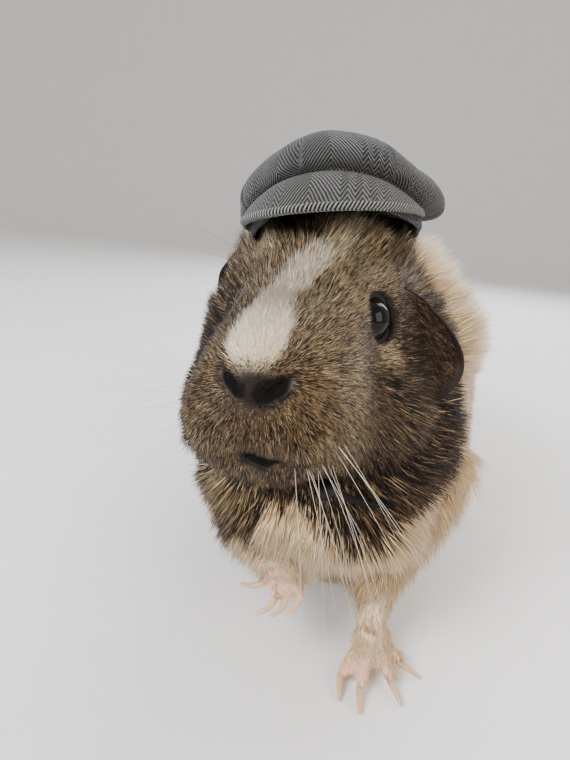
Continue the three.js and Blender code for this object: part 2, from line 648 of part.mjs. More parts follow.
const legs = {
  left_foreleg: forelegLeft(),
  right_foreleg: forelegRight(),
  left_hindleg: hindleg(LEFT),
  right_hindleg: hindleg(RIGHT),
};
const [resting, hanging] = [
  { bend: [0, 0, -1], curl: radians(16) },
  { bend: [-1, -0.3, 0], curl: radians(75) },
];
const feet = {
  left_forefoot: { leg: "left_foreleg", pad: forefootPad(), toes: FOREFOOT_TOES, ...resting },
  right_forepaw: { leg: "right_foreleg", pad: forepawPad(), toes: FOREPAW_TOES, ...hanging },
  left_hindfoot: { leg: "left_hindleg", pad: hindfootPad(LEFT), toes: hindfootToes(LEFT), ...resting },
  right_hindfoot: { leg: "right_hindleg", pad: hindfootPad(RIGHT), toes: hindfootToes(RIGHT), ...resting },
};

const torsoCuts = [neckCut, headCut, groove, ...capCuts, ...Object.values(legs).map((leg) => grown(leg))];
for (const [name, parts] of Object.entries(feet)) {
  const { foot, claws } = makeFoot(parts);
  const padCut = grown(parts.pad);
  torsoCuts.push(padCut);
  addNode(parts.leg, cut(legs[parts.leg], neckCut, headCut, padCut), cream);
  addNode(name, foot, skin);
  claws.forEach((claw, i) => addNode(`${name}_claw_${i + 1}`, claw, horn));
}

const torso = cut(
  loft(TORSO, { rings: 12, sides: 24, capRings: 2, roundStart: 0.09, roundEnd: 0.14, square: 2.25 }),
  ...torsoCuts,
);
const FAR = 200;
const slab = (from, to) => new THREE.BoxGeometry(300, to - from, 300).translate(0, (from + to) / 2, 0);
addNode("chest", common(torso, slab(-FAR, TORSO_CUTS.chest)), cream);
addNode("torso", common(torso, slab(TORSO_CUTS.chest + GAP, TORSO_CUTS.rump)), cream);
addNode("rump", common(torso, slab(TORSO_CUTS.rump + GAP, FAR)), cream);

const box = new THREE.Box3().setFromObject(animal);
const middle = box.getCenter(vec());
animal.position.set(-middle.x, -middle.y, -box.min.z);

export default animal;
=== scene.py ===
"""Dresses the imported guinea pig: skin, coat, eyes, ears, claws, whiskers, tweed cap, strap, camera, lights.

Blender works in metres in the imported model's frame: the floor is z = 0, the animal faces -Y and its own left
is +X. Sizes in the classes below are millimetres in that frame, unless a comment or docstring says that they
are in the head's or the cap's.
"""

import logging
import math
from dataclasses import dataclass, field, replace
from enum import Enum
from typing import Callable, Iterable

import bmesh
import bpy
import numpy as np
from bpy.types import Material, Node, NodeSocket, NodeTree, Object
from mathutils import Matrix, Vector
from mathutils.bvhtree import BVHTree
from mathutils.kdtree import KDTree


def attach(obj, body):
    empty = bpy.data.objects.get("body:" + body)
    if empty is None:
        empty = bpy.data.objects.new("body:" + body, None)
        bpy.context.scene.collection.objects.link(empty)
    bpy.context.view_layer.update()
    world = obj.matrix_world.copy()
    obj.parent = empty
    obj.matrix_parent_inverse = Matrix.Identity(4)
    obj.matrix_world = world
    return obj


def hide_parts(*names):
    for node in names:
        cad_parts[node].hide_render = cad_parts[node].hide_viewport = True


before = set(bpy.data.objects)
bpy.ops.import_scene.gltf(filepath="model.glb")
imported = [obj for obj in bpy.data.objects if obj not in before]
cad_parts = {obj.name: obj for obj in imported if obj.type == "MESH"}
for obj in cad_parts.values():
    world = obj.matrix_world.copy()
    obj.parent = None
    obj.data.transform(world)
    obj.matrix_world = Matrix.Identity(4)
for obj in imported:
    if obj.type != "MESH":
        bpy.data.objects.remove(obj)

logging.basicConfig(level=logging.INFO, format="%(message)s")
log = logging.getLogger("guinea_pig")

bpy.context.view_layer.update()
BODY = "root"
MM = 0.001
SHIFT = np.array([7.576, -0.394, 0.0])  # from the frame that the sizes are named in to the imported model's
Place = tuple[float, float, float]
LEFT, RIGHT = 1, -1
UP = np.array([0.0, 0.0, 1.0])
MIRROR = np.array([-1, 1, 1])  # takes a place in the head's frame to its other side
RIPPLE_LAYERS = ((1.0, 0.55), (1.9, 0.3), (3.7, 0.15))  # how much finer each layer is, and its share
RIPPLE_WAVES = 4  # in each layer
RIPPLE_PITCH = 2.2  # radians of a wave over one feature
MERGE_GAP = 0.02  # millimetres within which two corners of a CAD node are one


# ----------------------------------------------------------- places and numbers


def turn_about(axis: str, degrees: float) -> np.ndarray:
    """Returns the 3x3 matrix of a turn about the x, y or z axis."""
    return np.array(Matrix.Rotation(math.radians(degrees), 3, axis.upper()))


@dataclass(frozen=True)
class Placement:
    """A frame of its own, such as the head's, within the whole animal's."""

    at: np.ndarray
    turn: np.ndarray

    def place(self, points: np.ndarray) -> np.ndarray:
        """Returns points of this frame as points of the animal's."""
        return np.atleast_2d(points) @ self.turn.T + self.at

    def local(self, points: np.ndarray) -> np.ndarray:
        """Returns points of the animal's frame as points of this one."""
        return (np.atleast_2d(points) - self.at) @ self.turn

    def aim(self, direction: Iterable[float]) -> np.ndarray:
        """Returns a direction of this frame as one of the animal's."""
        return self.turn @ np.array(direction, float)


HEAD = Placement(
    np.array([-9.6, -74.6, 88.9]) + SHIFT,
    turn_about("z", -7.5) @ turn_about("x", -11) @ turn_about("y", -0.4),
)
CAP = Placement(
    HEAD.place(np.array([0.6, 12.5, 20.5]))[0],
    HEAD.turn @ turn_about("x", 6) @ turn_about("y", -8.4) @ turn_about("z", 5),
)


def smooth(low: float, high: float, values: np.ndarray) -> np.ndarray:
    """Returns 0 at `low` and 1 at `high`, flat beyond both and soft between; `low` may be the larger."""
    share = np.clip((values - low) / (high - low), 0, 1)
    return share * share * (3 - 2 * share)


def unit(vectors: np.ndarray) -> np.ndarray:
    """Returns the vectors with length 1."""
    return vectors / np.maximum(np.linalg.norm(vectors, axis=-1, keepdims=True), 1e-9)


def ripple(points: np.ndarray, size: float, seed: int) -> np.ndarray:
    """Returns a smooth wandering value at each point.

    Args:
        points: The points, in millimetres.
        size: How large its features are, in millimetres.
        seed: The seed of its waves.

    Returns:
        The values, from -1 to 1.
    """
    rng = np.random.default_rng(seed)
    total = np.zeros(len(points))
    for finer, weight in RIPPLE_LAYERS:
        waves = rng.normal(size=(RIPPLE_WAVES, 3)) * finer * RIPPLE_PITCH / size
        phases = rng.uniform(0, 2 * math.pi, RIPPLE_WAVES)
        total += weight * np.sin(points @ waves.T + phases).sum(axis=1) / 2
    return np.clip(total, -1, 1)


def linear(code: str) -> tuple[float, float, float, float]:
    """Returns an sRGB hex colour such as "#8a7f6b" as linear RGBA."""
    parts = [int(code[i : i + 2], 16) / 255 for i in (1, 3, 5)]
    return (*(p / 12.92 if p <= 0.04045 else ((p + 0.055) / 1.055) ** 2.4 for p in parts), 1.0)


# ---------------------------------------------------------------- making meshes


def added(name: str, operator: Callable[..., set[str]], **sizes: object) -> Object:
    """Adds a primitive with nothing else selected.

    Args:
        name: The new piece's name.
        operator: The operator that adds it.
        sizes: The operator's own settings.

    Returns:
        The new piece.
    """
    bpy.ops.object.select_all(action="DESELECT")
    operator(**sizes)
    piece = bpy.context.object
    piece.name = name
    return piece


def select_only(*pieces: Object) -> None:
    """Deselects all, then selects pieces.

    Args:
        pieces: The pieces, of which the first becomes the active one.
    """
    bpy.ops.object.select_all(action="DESELECT")
    for piece in pieces:
        piece.select_set(True)
    bpy.context.view_layer.objects.active = pieces[0]


def mesh_points(piece: Object) -> np.ndarray:
    """Reads a piece's vertices.

    Args:
        piece: The piece.

    Returns:
        Their places, in millimetres.
    """
    flat = np.empty(len(piece.data.vertices) * 3, np.float32)
    piece.data.vertices.foreach_get("co", flat)
    return flat.reshape(-1, 3).astype(float) / MM


def set_points(piece: Object, points: np.ndarray) -> None:
    """Moves a piece's vertices to points in millimetres."""
    piece.data.vertices.foreach_set("co", (points * MM).astype(np.float32).ravel())
    piece.data.update()


def mesh_triangles(piece: Object) -> np.ndarray:
    """Reads a piece's triangles.

    Args:
        piece: The piece.

    Returns:
        Rows of three vertex numbers.
    """
    piece.data.calc_loop_triangles()
    flat = np.empty(len(piece.data.loop_triangles) * 3, np.int32)
    piece.data.loop_triangles.foreach_get("vertices", flat)
    return flat.reshape(-1, 3)


def recalculate(piece: Object) -> None:
    """Turns a piece's faces outwards.

    Args:
        piece: The piece, closed and with its doubles merged.
    """
    shell = bmesh.new()
    shell.from_mesh(piece.data)
    bmesh.ops.recalc_face_normals(shell, faces=shell.faces)
    shell.to_mesh(piece.data)
    shell.free()


def add_floats(piece: Object, name: str, values: np.ndarray) -> None:
    """Stores one number per vertex under a name that a material can read."""
    layer = piece.data.attributes.new(name, "FLOAT", "POINT")
    layer.data.foreach_set("value", values.astype(np.float32))


def piece_from_arrays(name: str, points: np.ndarray, triangles: np.ndarray) -> Object:
    """Makes a smooth-shaded piece.

    Args:
        name: The piece's name.
        points: Its vertices, in millimetres.
        triangles: Rows of three vertex numbers.

    Returns:
        The piece, linked to the scene.
    """
    mesh = bpy.data.meshes.new(name)
    mesh.vertices.add(len(points))
    mesh.vertices.foreach_set("co", (points * MM).astype(np.float32).ravel())
    mesh.loops.add(triangles.size)
    mesh.loops.foreach_set("vertex_index", triangles.astype(np.int32).ravel())
    mesh.polygons.add(len(triangles))
    mesh.polygons.foreach_set("loop_start", np.arange(0, triangles.size, 3, dtype=np.int32))
    mesh.polygons.foreach_set("use_smooth", np.ones(len(triangles), bool))
    mesh.update(calc_edges=True)
    piece = bpy.data.objects.new(name, mesh)
    bpy.context.scene.collection.objects.link(piece)
    return piece


def merged_copy(node: str, name: str) -> Object:
    """Copies a CAD node and merges its loose triangles into a closed, smooth surface.

    Args:
        node: The node's name.
        name: The copy's name.

    Returns:
        The copy, linked to the scene.
    """
    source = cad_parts[node]
    mesh = source.data.copy()
    mesh.materials.clear()
    piece = bpy.data.objects.new(name, mesh)
    bpy.context.scene.collection.objects.link(piece)
    shell = bmesh.new()
    shell.from_mesh(mesh)
    bmesh.ops.remove_doubles(shell, verts=shell.verts, dist=MERGE_GAP * MM)
    for face in shell.faces:
        face.smooth = True
    shell.to_mesh(mesh)
    shell.free()
    return piece


def apply_modifier(piece: Object, kind: str, **settings: object) -> None:
    """Adds a modifier and applies it.

    Args:
        piece: The piece to change.
        kind: The modifier's type.
        settings: Its properties.
    """
    modifier = piece.modifiers.new(kind, kind)
    for key, value in settings.items():
        setattr(modifier, key, value)
    select_only(piece)
    bpy.ops.object.modifier_apply(modifier=modifier.name)


def join(pieces: list[Object], name: str) -> Object:
    """Joins pieces into the first.

    Args:
        pieces: The pieces.
        name: The joined piece's name.

    Returns:
        The joined piece.
    """
    select_only(*pieces)
    bpy.ops.object.join()
    pieces[0].name = name
    return pieces[0]


def smooth_all(piece: Object) -> None:
    """Shades every face of a piece smooth."""
    piece.data.polygons.foreach_set("use_smooth", np.ones(len(piece.data.polygons), bool))


def finish_piece(piece: Object, material: Material, nodes: Iterable[str] = ()) -> None:
    """Gives a piece its material and lets it ride on the animal.

    Args:
        piece: The piece.
        material: Its material.
        nodes: The CAD nodes that it stands for, if any.
    """
    piece.data.materials.clear()
    piece.data.materials.append(material)
    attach(piece, BODY)
    if nodes:
        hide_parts(*nodes)
    log.info("%s: %d triangles", piece.name, len(mesh_triangles(piece)))


# -------------------------------------------------------------------- materials

BLEND = {"data_type": "RGBA"}
TINT = {"data_type": "RGBA", "blend_type": "MULTIPLY"}
SCALED = {"operation": "MULTIPLY_ADD"}
PLAIN = "#ffffff"  # a tint that changes nothing
MIDWAY = 0.5  # where a new stop or curve point stands until it gets its own place
NodeValue = NodeSocket | float | str
Stops = Iterable[tuple[float, str]]
NewMaterial = tuple[Material, NodeTree, Node]


def add_node(
    tree: NodeTree,
    kind: str,
    *values: NodeValue,
    settings: dict[str, NodeValue] | None = None,
    stops: Stops = (),
    output: str = "",
) -> NodeSocket:
    """Adds a shader node.

    Args:
        tree: The material's nodes.
        kind: The node's type, without "ShaderNode".
        values: What its usable inputs get, in order: sockets, numbers or sRGB hex colours.
        settings: Its properties, in small letters, and more inputs by their names, which have capitals.
        stops: The (position, hex colour) pairs of a colour ramp.
        output: The output to return, or none for the first usable one.

    Returns:
        The output.
    """
    node = tree.nodes.new("ShaderNode" + kind)
    named = {}
    for key, value in (settings or {}).items():
        if key[0].isupper():
            named[key] = value
        else:
            setattr(node, key, value)
    if stops:
        elements = node.color_ramp.elements
        while len(elements) < len(stops):
            elements.new(MIDWAY)
        for element, (position, code) in zip(elements, stops):
            element.position = position
            element.color = linear(code)
    usable = [socket for socket in node.inputs if socket.enabled]
    inputs = [*zip(usable, values), *((node.inputs[key], value) for key, value in named.items())]
    for socket, value in inputs:
        if isinstance(value, NodeSocket):
            tree.links.new(value, socket)
        else:
            socket.default_value = linear(value) if isinstance(value, str) else value
    return node.outputs[output] if output else next(socket for socket in node.outputs if socket.enabled)


def new_material(name: str, **shader: float) -> NewMaterial:
    """Makes a material.

    Args:
        name: Its name.
        shader: Values of its principled shader's sockets, with "_" for a blank.

    Returns:
        The material, its nodes and its shader.
    """
    material = bpy.data.materials.new(name)
    material.use_nodes = True
    tree = material.node_tree
    principled = tree.nodes["Principled BSDF"]
    for key, value in shader.items():
        principled.inputs[key.replace("_", " ")].default_value = value
    return material, tree, principled


def object_noise(tree: NodeTree, size_mm: float, detail: float = 3.0) -> NodeSocket:
    """Adds noise in the object's own space.

    Args:
        tree: The material's nodes.
        size_mm: How wide its features are, in millimetres.
        detail: How many finer layers it has.

    Returns:
        The noise, from 0 to 1.
    """
    where = add_node(tree, "TexCoord", output="Object")
    settings = {"Vector": where, "Scale": 1 / (size_mm * MM), "Detail": detail}
    return add_node(tree, "TexNoise", settings=settings)


def bumped(tree: NodeTree, shader: Node, height: NodeSocket, depth_mm: float) -> None:
    """Feeds a relief into a shader's normal.

    Args:
        tree: The material's nodes.
        shader: The shader.
        height: The relief, from 0 to 1.
        depth_mm: How deep it is, in millimetres.
    """
    settings = {"Height": height, "Strength": 1.0, "Distance": depth_mm * MM}
    tree.links.new(add_node(tree, "Bump", settings=settings), shader.inputs["Normal"])


@dataclass(frozen=True)
class CoatFinish:
    """Guinea pig hair: keratin shafts, pigmented in bands where agouti, with a low gloss along the lie."""

    root: str = "#1c150f"
    shaft: str = "#493a2c"
    band: str = "#b59c72"
    pale: str = "#dcc8a0"
    tip: str = "#54432f"
    guard: str = "#1c140e"
    darkest: str = "#6b5a4c"  # tints of agouti hair by its tone
    darker: str = "#b9a793"
    cream_root: str = "#cdb188"
    cream: str = "#f8ebcf"
    cream_tip: str = "#fffaee"
    warmest: str = "#efdfc6"  # tints of cream hair from one hair to the next
    warmer: str = "#f4ead9"
    # The tone that buff and pale buff follow is lowered on chest and legs as painted shade.
    buff: str = "#dcc9b0"  # tints of cream hair by its tone
    pale_buff: str = "#f0e6d6"
    # Tints hair on the dark of nose pad and lids, and painted shade at nostrils and parted lips.
    dark_skin_and_hole_shade: str = "#130e0c"
    scatter: float = 0.5  # how far the bands shift from hair to hair, as a share of its length

    def make(self) -> Material:
        """Builds the fur, which reads each hair's own numbers.

        Returns:
            The material.
        """
        material, tree, shader = new_material("banded_hair", Roughness=0.6, Specular_IOR_Level=0.3)
        names = ("along", "seed", "tone", "guard", "white", "dark")
        along, seed, tone, guard, white, dark = (
            add_node(tree, "Attribute", settings={"attribute_name": n}, output="Fac") for n in names
        )
        shift = add_node(tree, "Math", seed, self.scatter, -self.scatter / 2, settings=SCALED)
        place = add_node(tree, "Math", along, shift, settings={"operation": "ADD", "use_clamp": True})
        bands = ((0.0, self.root), (0.28, self.shaft), (0.5, self.band), (0.74, self.pale), (0.92, self.band))
        ticked = add_node(tree, "ValToRGB", place, stops=(*bands, (1.0, self.tip)))
        guarded = add_node(tree, "Mix", guard, ticked, self.guard, settings=BLEND)
        tones = ((0.0, self.darkest), (0.5, self.darker), (1.0, PLAIN))
        shade = add_node(tree, "ValToRGB", tone, stops=tones)
        agouti = add_node(tree, "Mix", 1.0, guarded, shade, settings=TINT)
        cream_bands = ((0.0, self.cream_root), (0.45, self.cream), (1.0, self.cream_tip))
        cream = add_node(tree, "ValToRGB", along, stops=cream_bands)
        warmths = ((0.0, self.warmest), (0.5, PLAIN), (1.0, self.warmer))
        warmth = add_node(tree, "ValToRGB", seed, stops=warmths)
        varied = add_node(tree, "Mix", 1.0, cream, warmth, settings=TINT)
        buffs = ((0.0, self.buff), (0.5, self.pale_buff), (1.0, PLAIN))
        buff = add_node(tree, "ValToRGB", tone, stops=buffs)
        pale = add_node(tree, "Mix", 1.0, varied, buff, settings=TINT)
        hair = add_node(tree, "Mix", white, agouti, pale, settings=BLEND)
        tinted = add_node(tree, "Mix", dark, hair, self.dark_skin_and_hole_shade, settings=BLEND)
        tree.links.new(tinted, shader.inputs["Base Color"])
        return material


@dataclass(frozen=True)
class SkinFinish:
    """Living skin: pink where bare, slate under agouti hair, matt, with a little light scattered in it."""

    pink: str = "#e6b9a3"
    deep: str = "#c98f7a"
    slate: str = "#4f4236"
    fair: str = "#d6c1a4"
    # Skin of nose pad and lids, and painted shade in the nostrils and between the parted lips.
    dark: str = "#080605"

    def make(self) -> Material:
        """Builds the skin, which reads its numbers white, dark and bare.

        Returns:
            The material.
        """
        material, tree, shader = new_material(
            "living_skin",
            Roughness=0.7,
            Subsurface_Weight=0.12,
            Subsurface_Scale=1.5 * MM,
            Specular_IOR_Level=0.06,
        )
        names = ("white", "bare", "dark")
        white, bare, dark = (
            add_node(tree, "Attribute", settings={"attribute_name": n}, output="Fac") for n in names
        )
        pink = add_node(tree, "Mix", object_noise(tree, 3.0), self.pink, self.deep, settings=BLEND)
        haired = add_node(tree, "Mix", white, self.slate, self.fair, settings=BLEND)
        skin = add_node(tree, "Mix", bare, haired, pink, settings=BLEND)
        tinted = add_node(tree, "Mix", dark, skin, self.dark, settings=BLEND)
        tree.links.new(tinted, shader.inputs["Base Color"])
        bumped(tree, shader, object_noise(tree, 0.8, 5.0), 0.25)
        return material


@dataclass(frozen=True)
class EarFinish:
    """Bare ear leather: thin, so that a little light gets in, brown, darker at its rim, matt and creased."""

    dark: str = "#120b07"
    brown: str = "#3a281c"
    blush: str = "#57402e"

    def make(self) -> Material:
        """Builds the leather, which reads how near the rim a point is.

        Returns:
            The material.
        """
        material, tree, shader = new_material(
            "ear_leather",
            Roughness=0.75,
            Specular_IOR_Level=0.2,
            Subsurface_Weight=0.06,
            Subsurface_Scale=1.0 * MM,
        )
        patches = ((0.3, self.dark), (0.6, self.brown), (0.85, self.blush))
        leather = add_node(tree, "ValToRGB", object_noise(tree, 9.0), stops=patches)
        outward = add_node(tree, "Attribute", settings={"attribute_name": "outward"}, output="Fac")
        darkened = ((0.0, "#000000"), (0.8, "#000000"), (0.95, "#cccccc"))  # black: leather
        rim = add_node(tree, "ValToRGB", outward, stops=darkened)
        edged = add_node(tree, "Mix", rim, leather, self.dark, settings=BLEND)
        tree.links.new(edged, shader.inputs["Base Color"])
        folds = (object_noise(tree, 1.6, 5.0), object_noise(tree, 0.5, 2.0))
        bumped(tree, shader, add_node(tree, "Math", *folds, settings={"operation": "MULTIPLY"}), 0.6)
        return material


@dataclass(frozen=True)
class EyeFinish:
    """A wet eye: almost black iris under a clear cornea, so it mirrors the lights."""

    pupil: str = "#040303"
    iris: str = "#1a0f0a"
    edge: str = "#0e0907"

    def make(self) -> Material:
        """Builds the eye, which reads how far a point is from the middle of the iris.

        Returns:
            The material.
        """
        material, tree, shader = new_material(
            "wet_eye",
            Roughness=0.04,
            Specular_IOR_Level=0.24,
            Coat_Weight=0.05,
            Coat_Roughness=0.02,
            IOR=1.38,
        )
        away = add_node(tree, "Attribute", settings={"attribute_name": "iris"}, output="Fac")
        rings = ((0.0, self.pupil), (0.52, self.pupil), (0.6, self.iris), (1.0, self.edge))
        tree.links.new(add_node(tree, "ValToRGB", away, stops=rings), shader.inputs["Base Color"])
        return material


@dataclass(frozen=True)
class LidFinish:
    """Eyelid skin: hairless, black-brown and slightly moist."""

    dark: str = "#070504"
    brown: str = "#15100c"

    def make(self) -> Material:
        """Builds the dark skin of the lids.

        Returns:
            The material.
        """
        material, tree, shader = new_material("eyelid_skin", Roughness=0.5, Specular_IOR_Level=0.2)
        shade = add_node(tree, "Mix", object_noise(tree, 1.5), self.dark, self.brown, settings=BLEND)
        tree.links.new(shade, shader.inputs["Base Color"])
        bumped(tree, shader, object_noise(tree, 0.7), 0.1)
        return material


@dataclass(frozen=True)
class HornFinish:
    """Claw horn: keratin that lets a little light through, ivory with faint growth lines."""

    ivory: str = "#c6aa78"
    root: str = "#bb8f70"

    def make(self) -> Material:
        """Builds the clear horn.

        Returns:
            The material.
        """
        material, tree, shader = new_material(
            "claw_horn", Roughness=0.3, Subsurface_Weight=0.3, Subsurface_Scale=1.2 * MM, IOR=1.55
        )
        colour = add_node(tree, "Mix", object_noise(tree, 1.5), self.ivory, self.root, settings=BLEND)
        tree.links.new(colour, shader.inputs["Base Color"])
        bumped(tree, shader, object_noise(tree, 0.4), 0.05)
        return material


@dataclass(frozen=True)
class WhiskerFinish:
    """Whisker keratin: stiff and smooth, so that it glints along its length."""

    name: str
    light: str
    shade: str

    def make(self) -> Material:
        """Builds a whisker's horn.

        Returns:
            The material.
        """
        material, tree, shader = new_material(self.name, Roughness=0.35, IOR=1.55)
        colour = add_node(tree, "Mix", object_noise(tree, 6.0), self.light, self.shade, settings=BLEND)
        tree.links.new(colour, shader.inputs["Base Color"])
        return material


@dataclass(frozen=True)
class HerringboneTweed:
    """Woven wool tweed: light and dark yarns in slanting ribs that turn back at each column, fuzzy and matt.

    One repeat has two broad columns and a run of narrow ones. Widths are millimetres of cloth. A real rib is
    well under 1 mm wide, which is too fine to show, so the ribs are drawn coarser.
    """

    name: str
    # Defaults, as the crown has them: its middle and light yarns are darker than the peak's, partly as painted
    # shade.
    dark: str = "#060707"
    middle: str = "#100f0e"
    light: str = "#4a4842"
    rib: float = 1.2
    broad: float = 7.0
    narrow: float = 1.3
    narrow_count: int = 8
    slope: float = 1.5  # millimetres that a rib climbs in one millimetre across
    contrast: float = 1.25
    uneven: float = 0.35  # millimetres that a column wanders to either side
    fuzz: float = 0.9  # the share of light and dark that single fibres add
    relief: float = 0.28

    def turns(self) -> list[tuple[float, float]]:
        """Finds where the ribs turn back in one repeat.

        Returns:
            Places as shares of the repeat, each with the millimetres that the rib has climbed there.
        """
        widths = [self.broad, self.broad] + [self.narrow] * self.narrow_count
        at, height, points = 0.0, 0.0, [(0.0, 0.0)]
        for i, width in enumerate(widths):
            at += width
            height += width if i % 2 == 0 else -width
            points.append((at, height))
        return [(a / at, h) for a, h in points]

    def make(self) -> Material:
        """Builds the cloth, which reads its own millimetres from the map Weave.

        Returns:
            The material.
        """
        material, tree, shader = new_material(
            self.name, Roughness=0.95, Sheen_Weight=0.2, Sheen_Roughness=0.5, Specular_IOR_Level=0.15
        )
        cloth = add_node(tree, "UVMap", settings={"uv_map": "Weave"})
        across, along = (add_node(tree, "SeparateXYZ", cloth, output=axis) for axis in "XY")
        wander = add_node(tree, "Math", object_noise(tree, 5.0), 1.0, -0.5, settings=SCALED)
        column = add_node(tree, "Math", wander, self.uneven, across, settings=SCALED)
        repeat = 2 * self.broad + self.narrow * self.narrow_count
        turned = add_node(tree, "Math", column, repeat, settings={"operation": "DIVIDE"})
        share = add_node(tree, "Math", turned, settings={"operation": "FRACT"})
        zigzag = add_node(tree, "FloatCurve", settings={"Value": share})
        curve = zigzag.node.mapping.curves[0]
        points = self.turns()
        while len(curve.points) < len(points):
            curve.points.new(MIDWAY, MIDWAY)
        for point, (x, height) in zip(curve.points, points):
            point.location = (x, height / self.broad)
            point.handle_type = "VECTOR"
        zigzag.node.mapping.update()
        lowered = add_node(tree, "Math", zigzag, -self.broad * self.slope, along, settings=SCALED)
        slant = add_node(tree, "Math", lowered, wander, settings={"operation": "ADD"})
        phase = add_node(tree, "Math", slant, 2 * math.pi / self.rib, settings={"operation": "MULTIPLY"})
        wave = add_node(tree, "Math", phase, settings={"operation": "SINE"})
        yarn = add_node(tree, "Math", wave, 0.5 * self.contrast, 0.5, settings=SCALED)
        grain = object_noise(tree, 0.35, 4.0)
        fibres = add_node(tree, "Math", grain, self.fuzz, -self.fuzz / 2, settings=SCALED)
        fuzzy = add_node(tree, "Math", yarn, fibres, settings={"operation": "ADD", "use_clamp": True})
        yarns = ((0.18, self.dark), (0.5, self.middle), (0.88, self.light))
        tree.links.new(add_node(tree, "ValToRGB", fuzzy, stops=yarns), shader.inputs["Base Color"])
        bumped(tree, shader, add_node(tree, "Math", fibres, 0.8, yarn, settings=SCALED), self.relief)
        return material


@dataclass(frozen=True)
class ElasticFinish:
    """Thin round elastic: black braided polyester over rubber, a dull sheen on each fine rib.

    The bead's moulded black plastic is the same with a lower roughness.
    """

    name: str
    roughness: float
    black: str = "#070707"
    worn: str = "#131211"

    def make(self) -> Material:
        """Builds the black elastic.

        Returns:
            The material.
        """
        material, tree, shader = new_material(
            self.name, Roughness=self.roughness, Specular_IOR_Level=0.25
        )
        colour = add_node(tree, "Mix", object_noise(tree, 0.7), self.black, self.worn, settings=BLEND)
        tree.links.new(colour, shader.inputs["Base Color"])
        bumped(tree, shader, object_noise(tree, 0.5), 0.12)
        return material


@dataclass(frozen=True)
class PaintedBoard:
    """A plain matt painted floor that sweeps up into its back wall, with a hardly visible roller texture."""

    pale: str = "#e6e3de"
    warm: str = "#dfdad3"

    def make(self) -> Material:
        """Builds the board's paint.

        Returns:
            The material.
        """
        material, tree, shader = new_material("painted_board", Roughness=0.7, Specular_IOR_Level=0.3)
        colour = add_node(tree, "Mix", object_noise(tree, 60.0), self.pale, self.warm, settings=BLEND)
        tree.links.new(colour, shader.inputs["Base Color"])
        bumped(tree, shader, object_noise(tree, 4.0), 0.05)
        return material


# ----------------------------------------------------------- the skin's surface


class Zone(Enum):
    """Parts of the body whose coat differs, each with the CAD nodes that make it up."""

    HEAD = ("head",)
    NECK = ("neck",)
    CHEST = ("chest",)
    TORSO = ("torso", "rump")
    FORELEG = ("left_foreleg", "right_foreleg")
    HINDLEG = ("left_hindleg", "right_hindleg")
    FOOT = ("left_forefoot", "right_forepaw", "left_hindfoot", "right_hindfoot")


FLESH = [node for zone in Zone for node in zone.value]

# Places and lines in the head's frame. A line's points are joined by straight pieces.
EYE_AT = np.array([14.0, -1.7, 0.6])
EYE_LOOK = unit(np.array([0.88, -0.45, 0.17]))
NOSE_TIP = np.array([0.0, -39.0, -17.0])
NOSTRIL = ((2.9, -39, -17.6), (4.6, -38.2, -16.4), (6.8, -36.6, -14.6), (8, -34.8, -13))
LIPS_APART = ((0.8, -35.2, -30.9), (2.6, -34.8, -31.8), (4.7, -34.4, -31.9), (6.6, -34.8, -31.3))
EAR_ROOT = ((27, 2, -17), (25, 2, -6), (19, 0, 12))
BEAD_SEEN = ((12.4, -11.5, -43.7), (14.5, -22.6, -40.2), (16.4, -31.0, -37.6))  # the way to the bead
EYE_RADIUS = 6.6

Curve = tuple[tuple[float, float], ...]  # (place, value) pairs

# Hair lengths and skin depths by how far from the nose, and on the legs by how high, a point is.
FACE_LENGTHS: Curve = ((0, 0.9), (5, 1.5), (10, 2.8), (20, 4.2), (35, 5.4), (50, 6.6), (75, 9.0))
FACE_DEPTHS: Curve = ((0, 0.25), (6, 0.4), (14, 0.8), (30, 1.6), (50, 2.6), (75, 4.0))
LEG_LENGTHS: Curve = ((6, 2.0), (14, 4.0), (24, 6.0), (40, 8.5), (60, 11.0))
LEG_DEPTHS: Curve = ((6, 0.3), (20, 0.9), (40, 2.4), (60, 4.5))


def distance_to_line(points: np.ndarray, line: Iterable[Iterable[float]]) -> np.ndarray:
    """Measures how far points are from a line.

    Args:
        points: The points.
        line: The line's own points, joined by straight pieces.

    Returns:
        Each point's distance.
    """
    nearest = np.full(len(points), np.inf)
    corners = np.array(list(line), float)
    for a, b in zip(corners[:-1], corners[1:]):
        along = np.clip(((points - a) @ (b - a)) / ((b - a) @ (b - a)), 0, 1)
        nearest = np.minimum(nearest, np.linalg.norm(points - a - along[:, None] * (b - a), axis=1))
    return nearest


def read_off(curve: Curve, places: np.ndarray) -> np.ndarray:
    """Returns a curve's values at some places, with straight pieces between its pairs."""
    return np.interp(places, *zip(*curve))


def feet_reach(points: np.ndarray) -> tuple[np.ndarray, np.ndarray]:
    """Measures how points lie to the feet.

    Args:
        points: The points.

    Returns:
        How near each is to a foot, from 0 to 1, and how far out on its toes, from 0 to 1.
    """
    near, toes = np.zeros(len(points)), np.zeros(len(points))
    for node in Zone.FOOT.value:
        solid = mesh_points(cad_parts[node])
        low, high = solid.min(axis=0), solid.max(axis=0)
        gap = np.linalg.norm(np.maximum(np.maximum(low - points, points - high), 0), axis=1)
        here = smooth(4.0, 1.5, gap)
        share = (points[:, 1] - low[1]) / (high[1] - low[1])
        near = np.maximum(near, here)
        toes = np.maximum(toes, here * smooth(0.5, 0.2, share))
    return near, toes


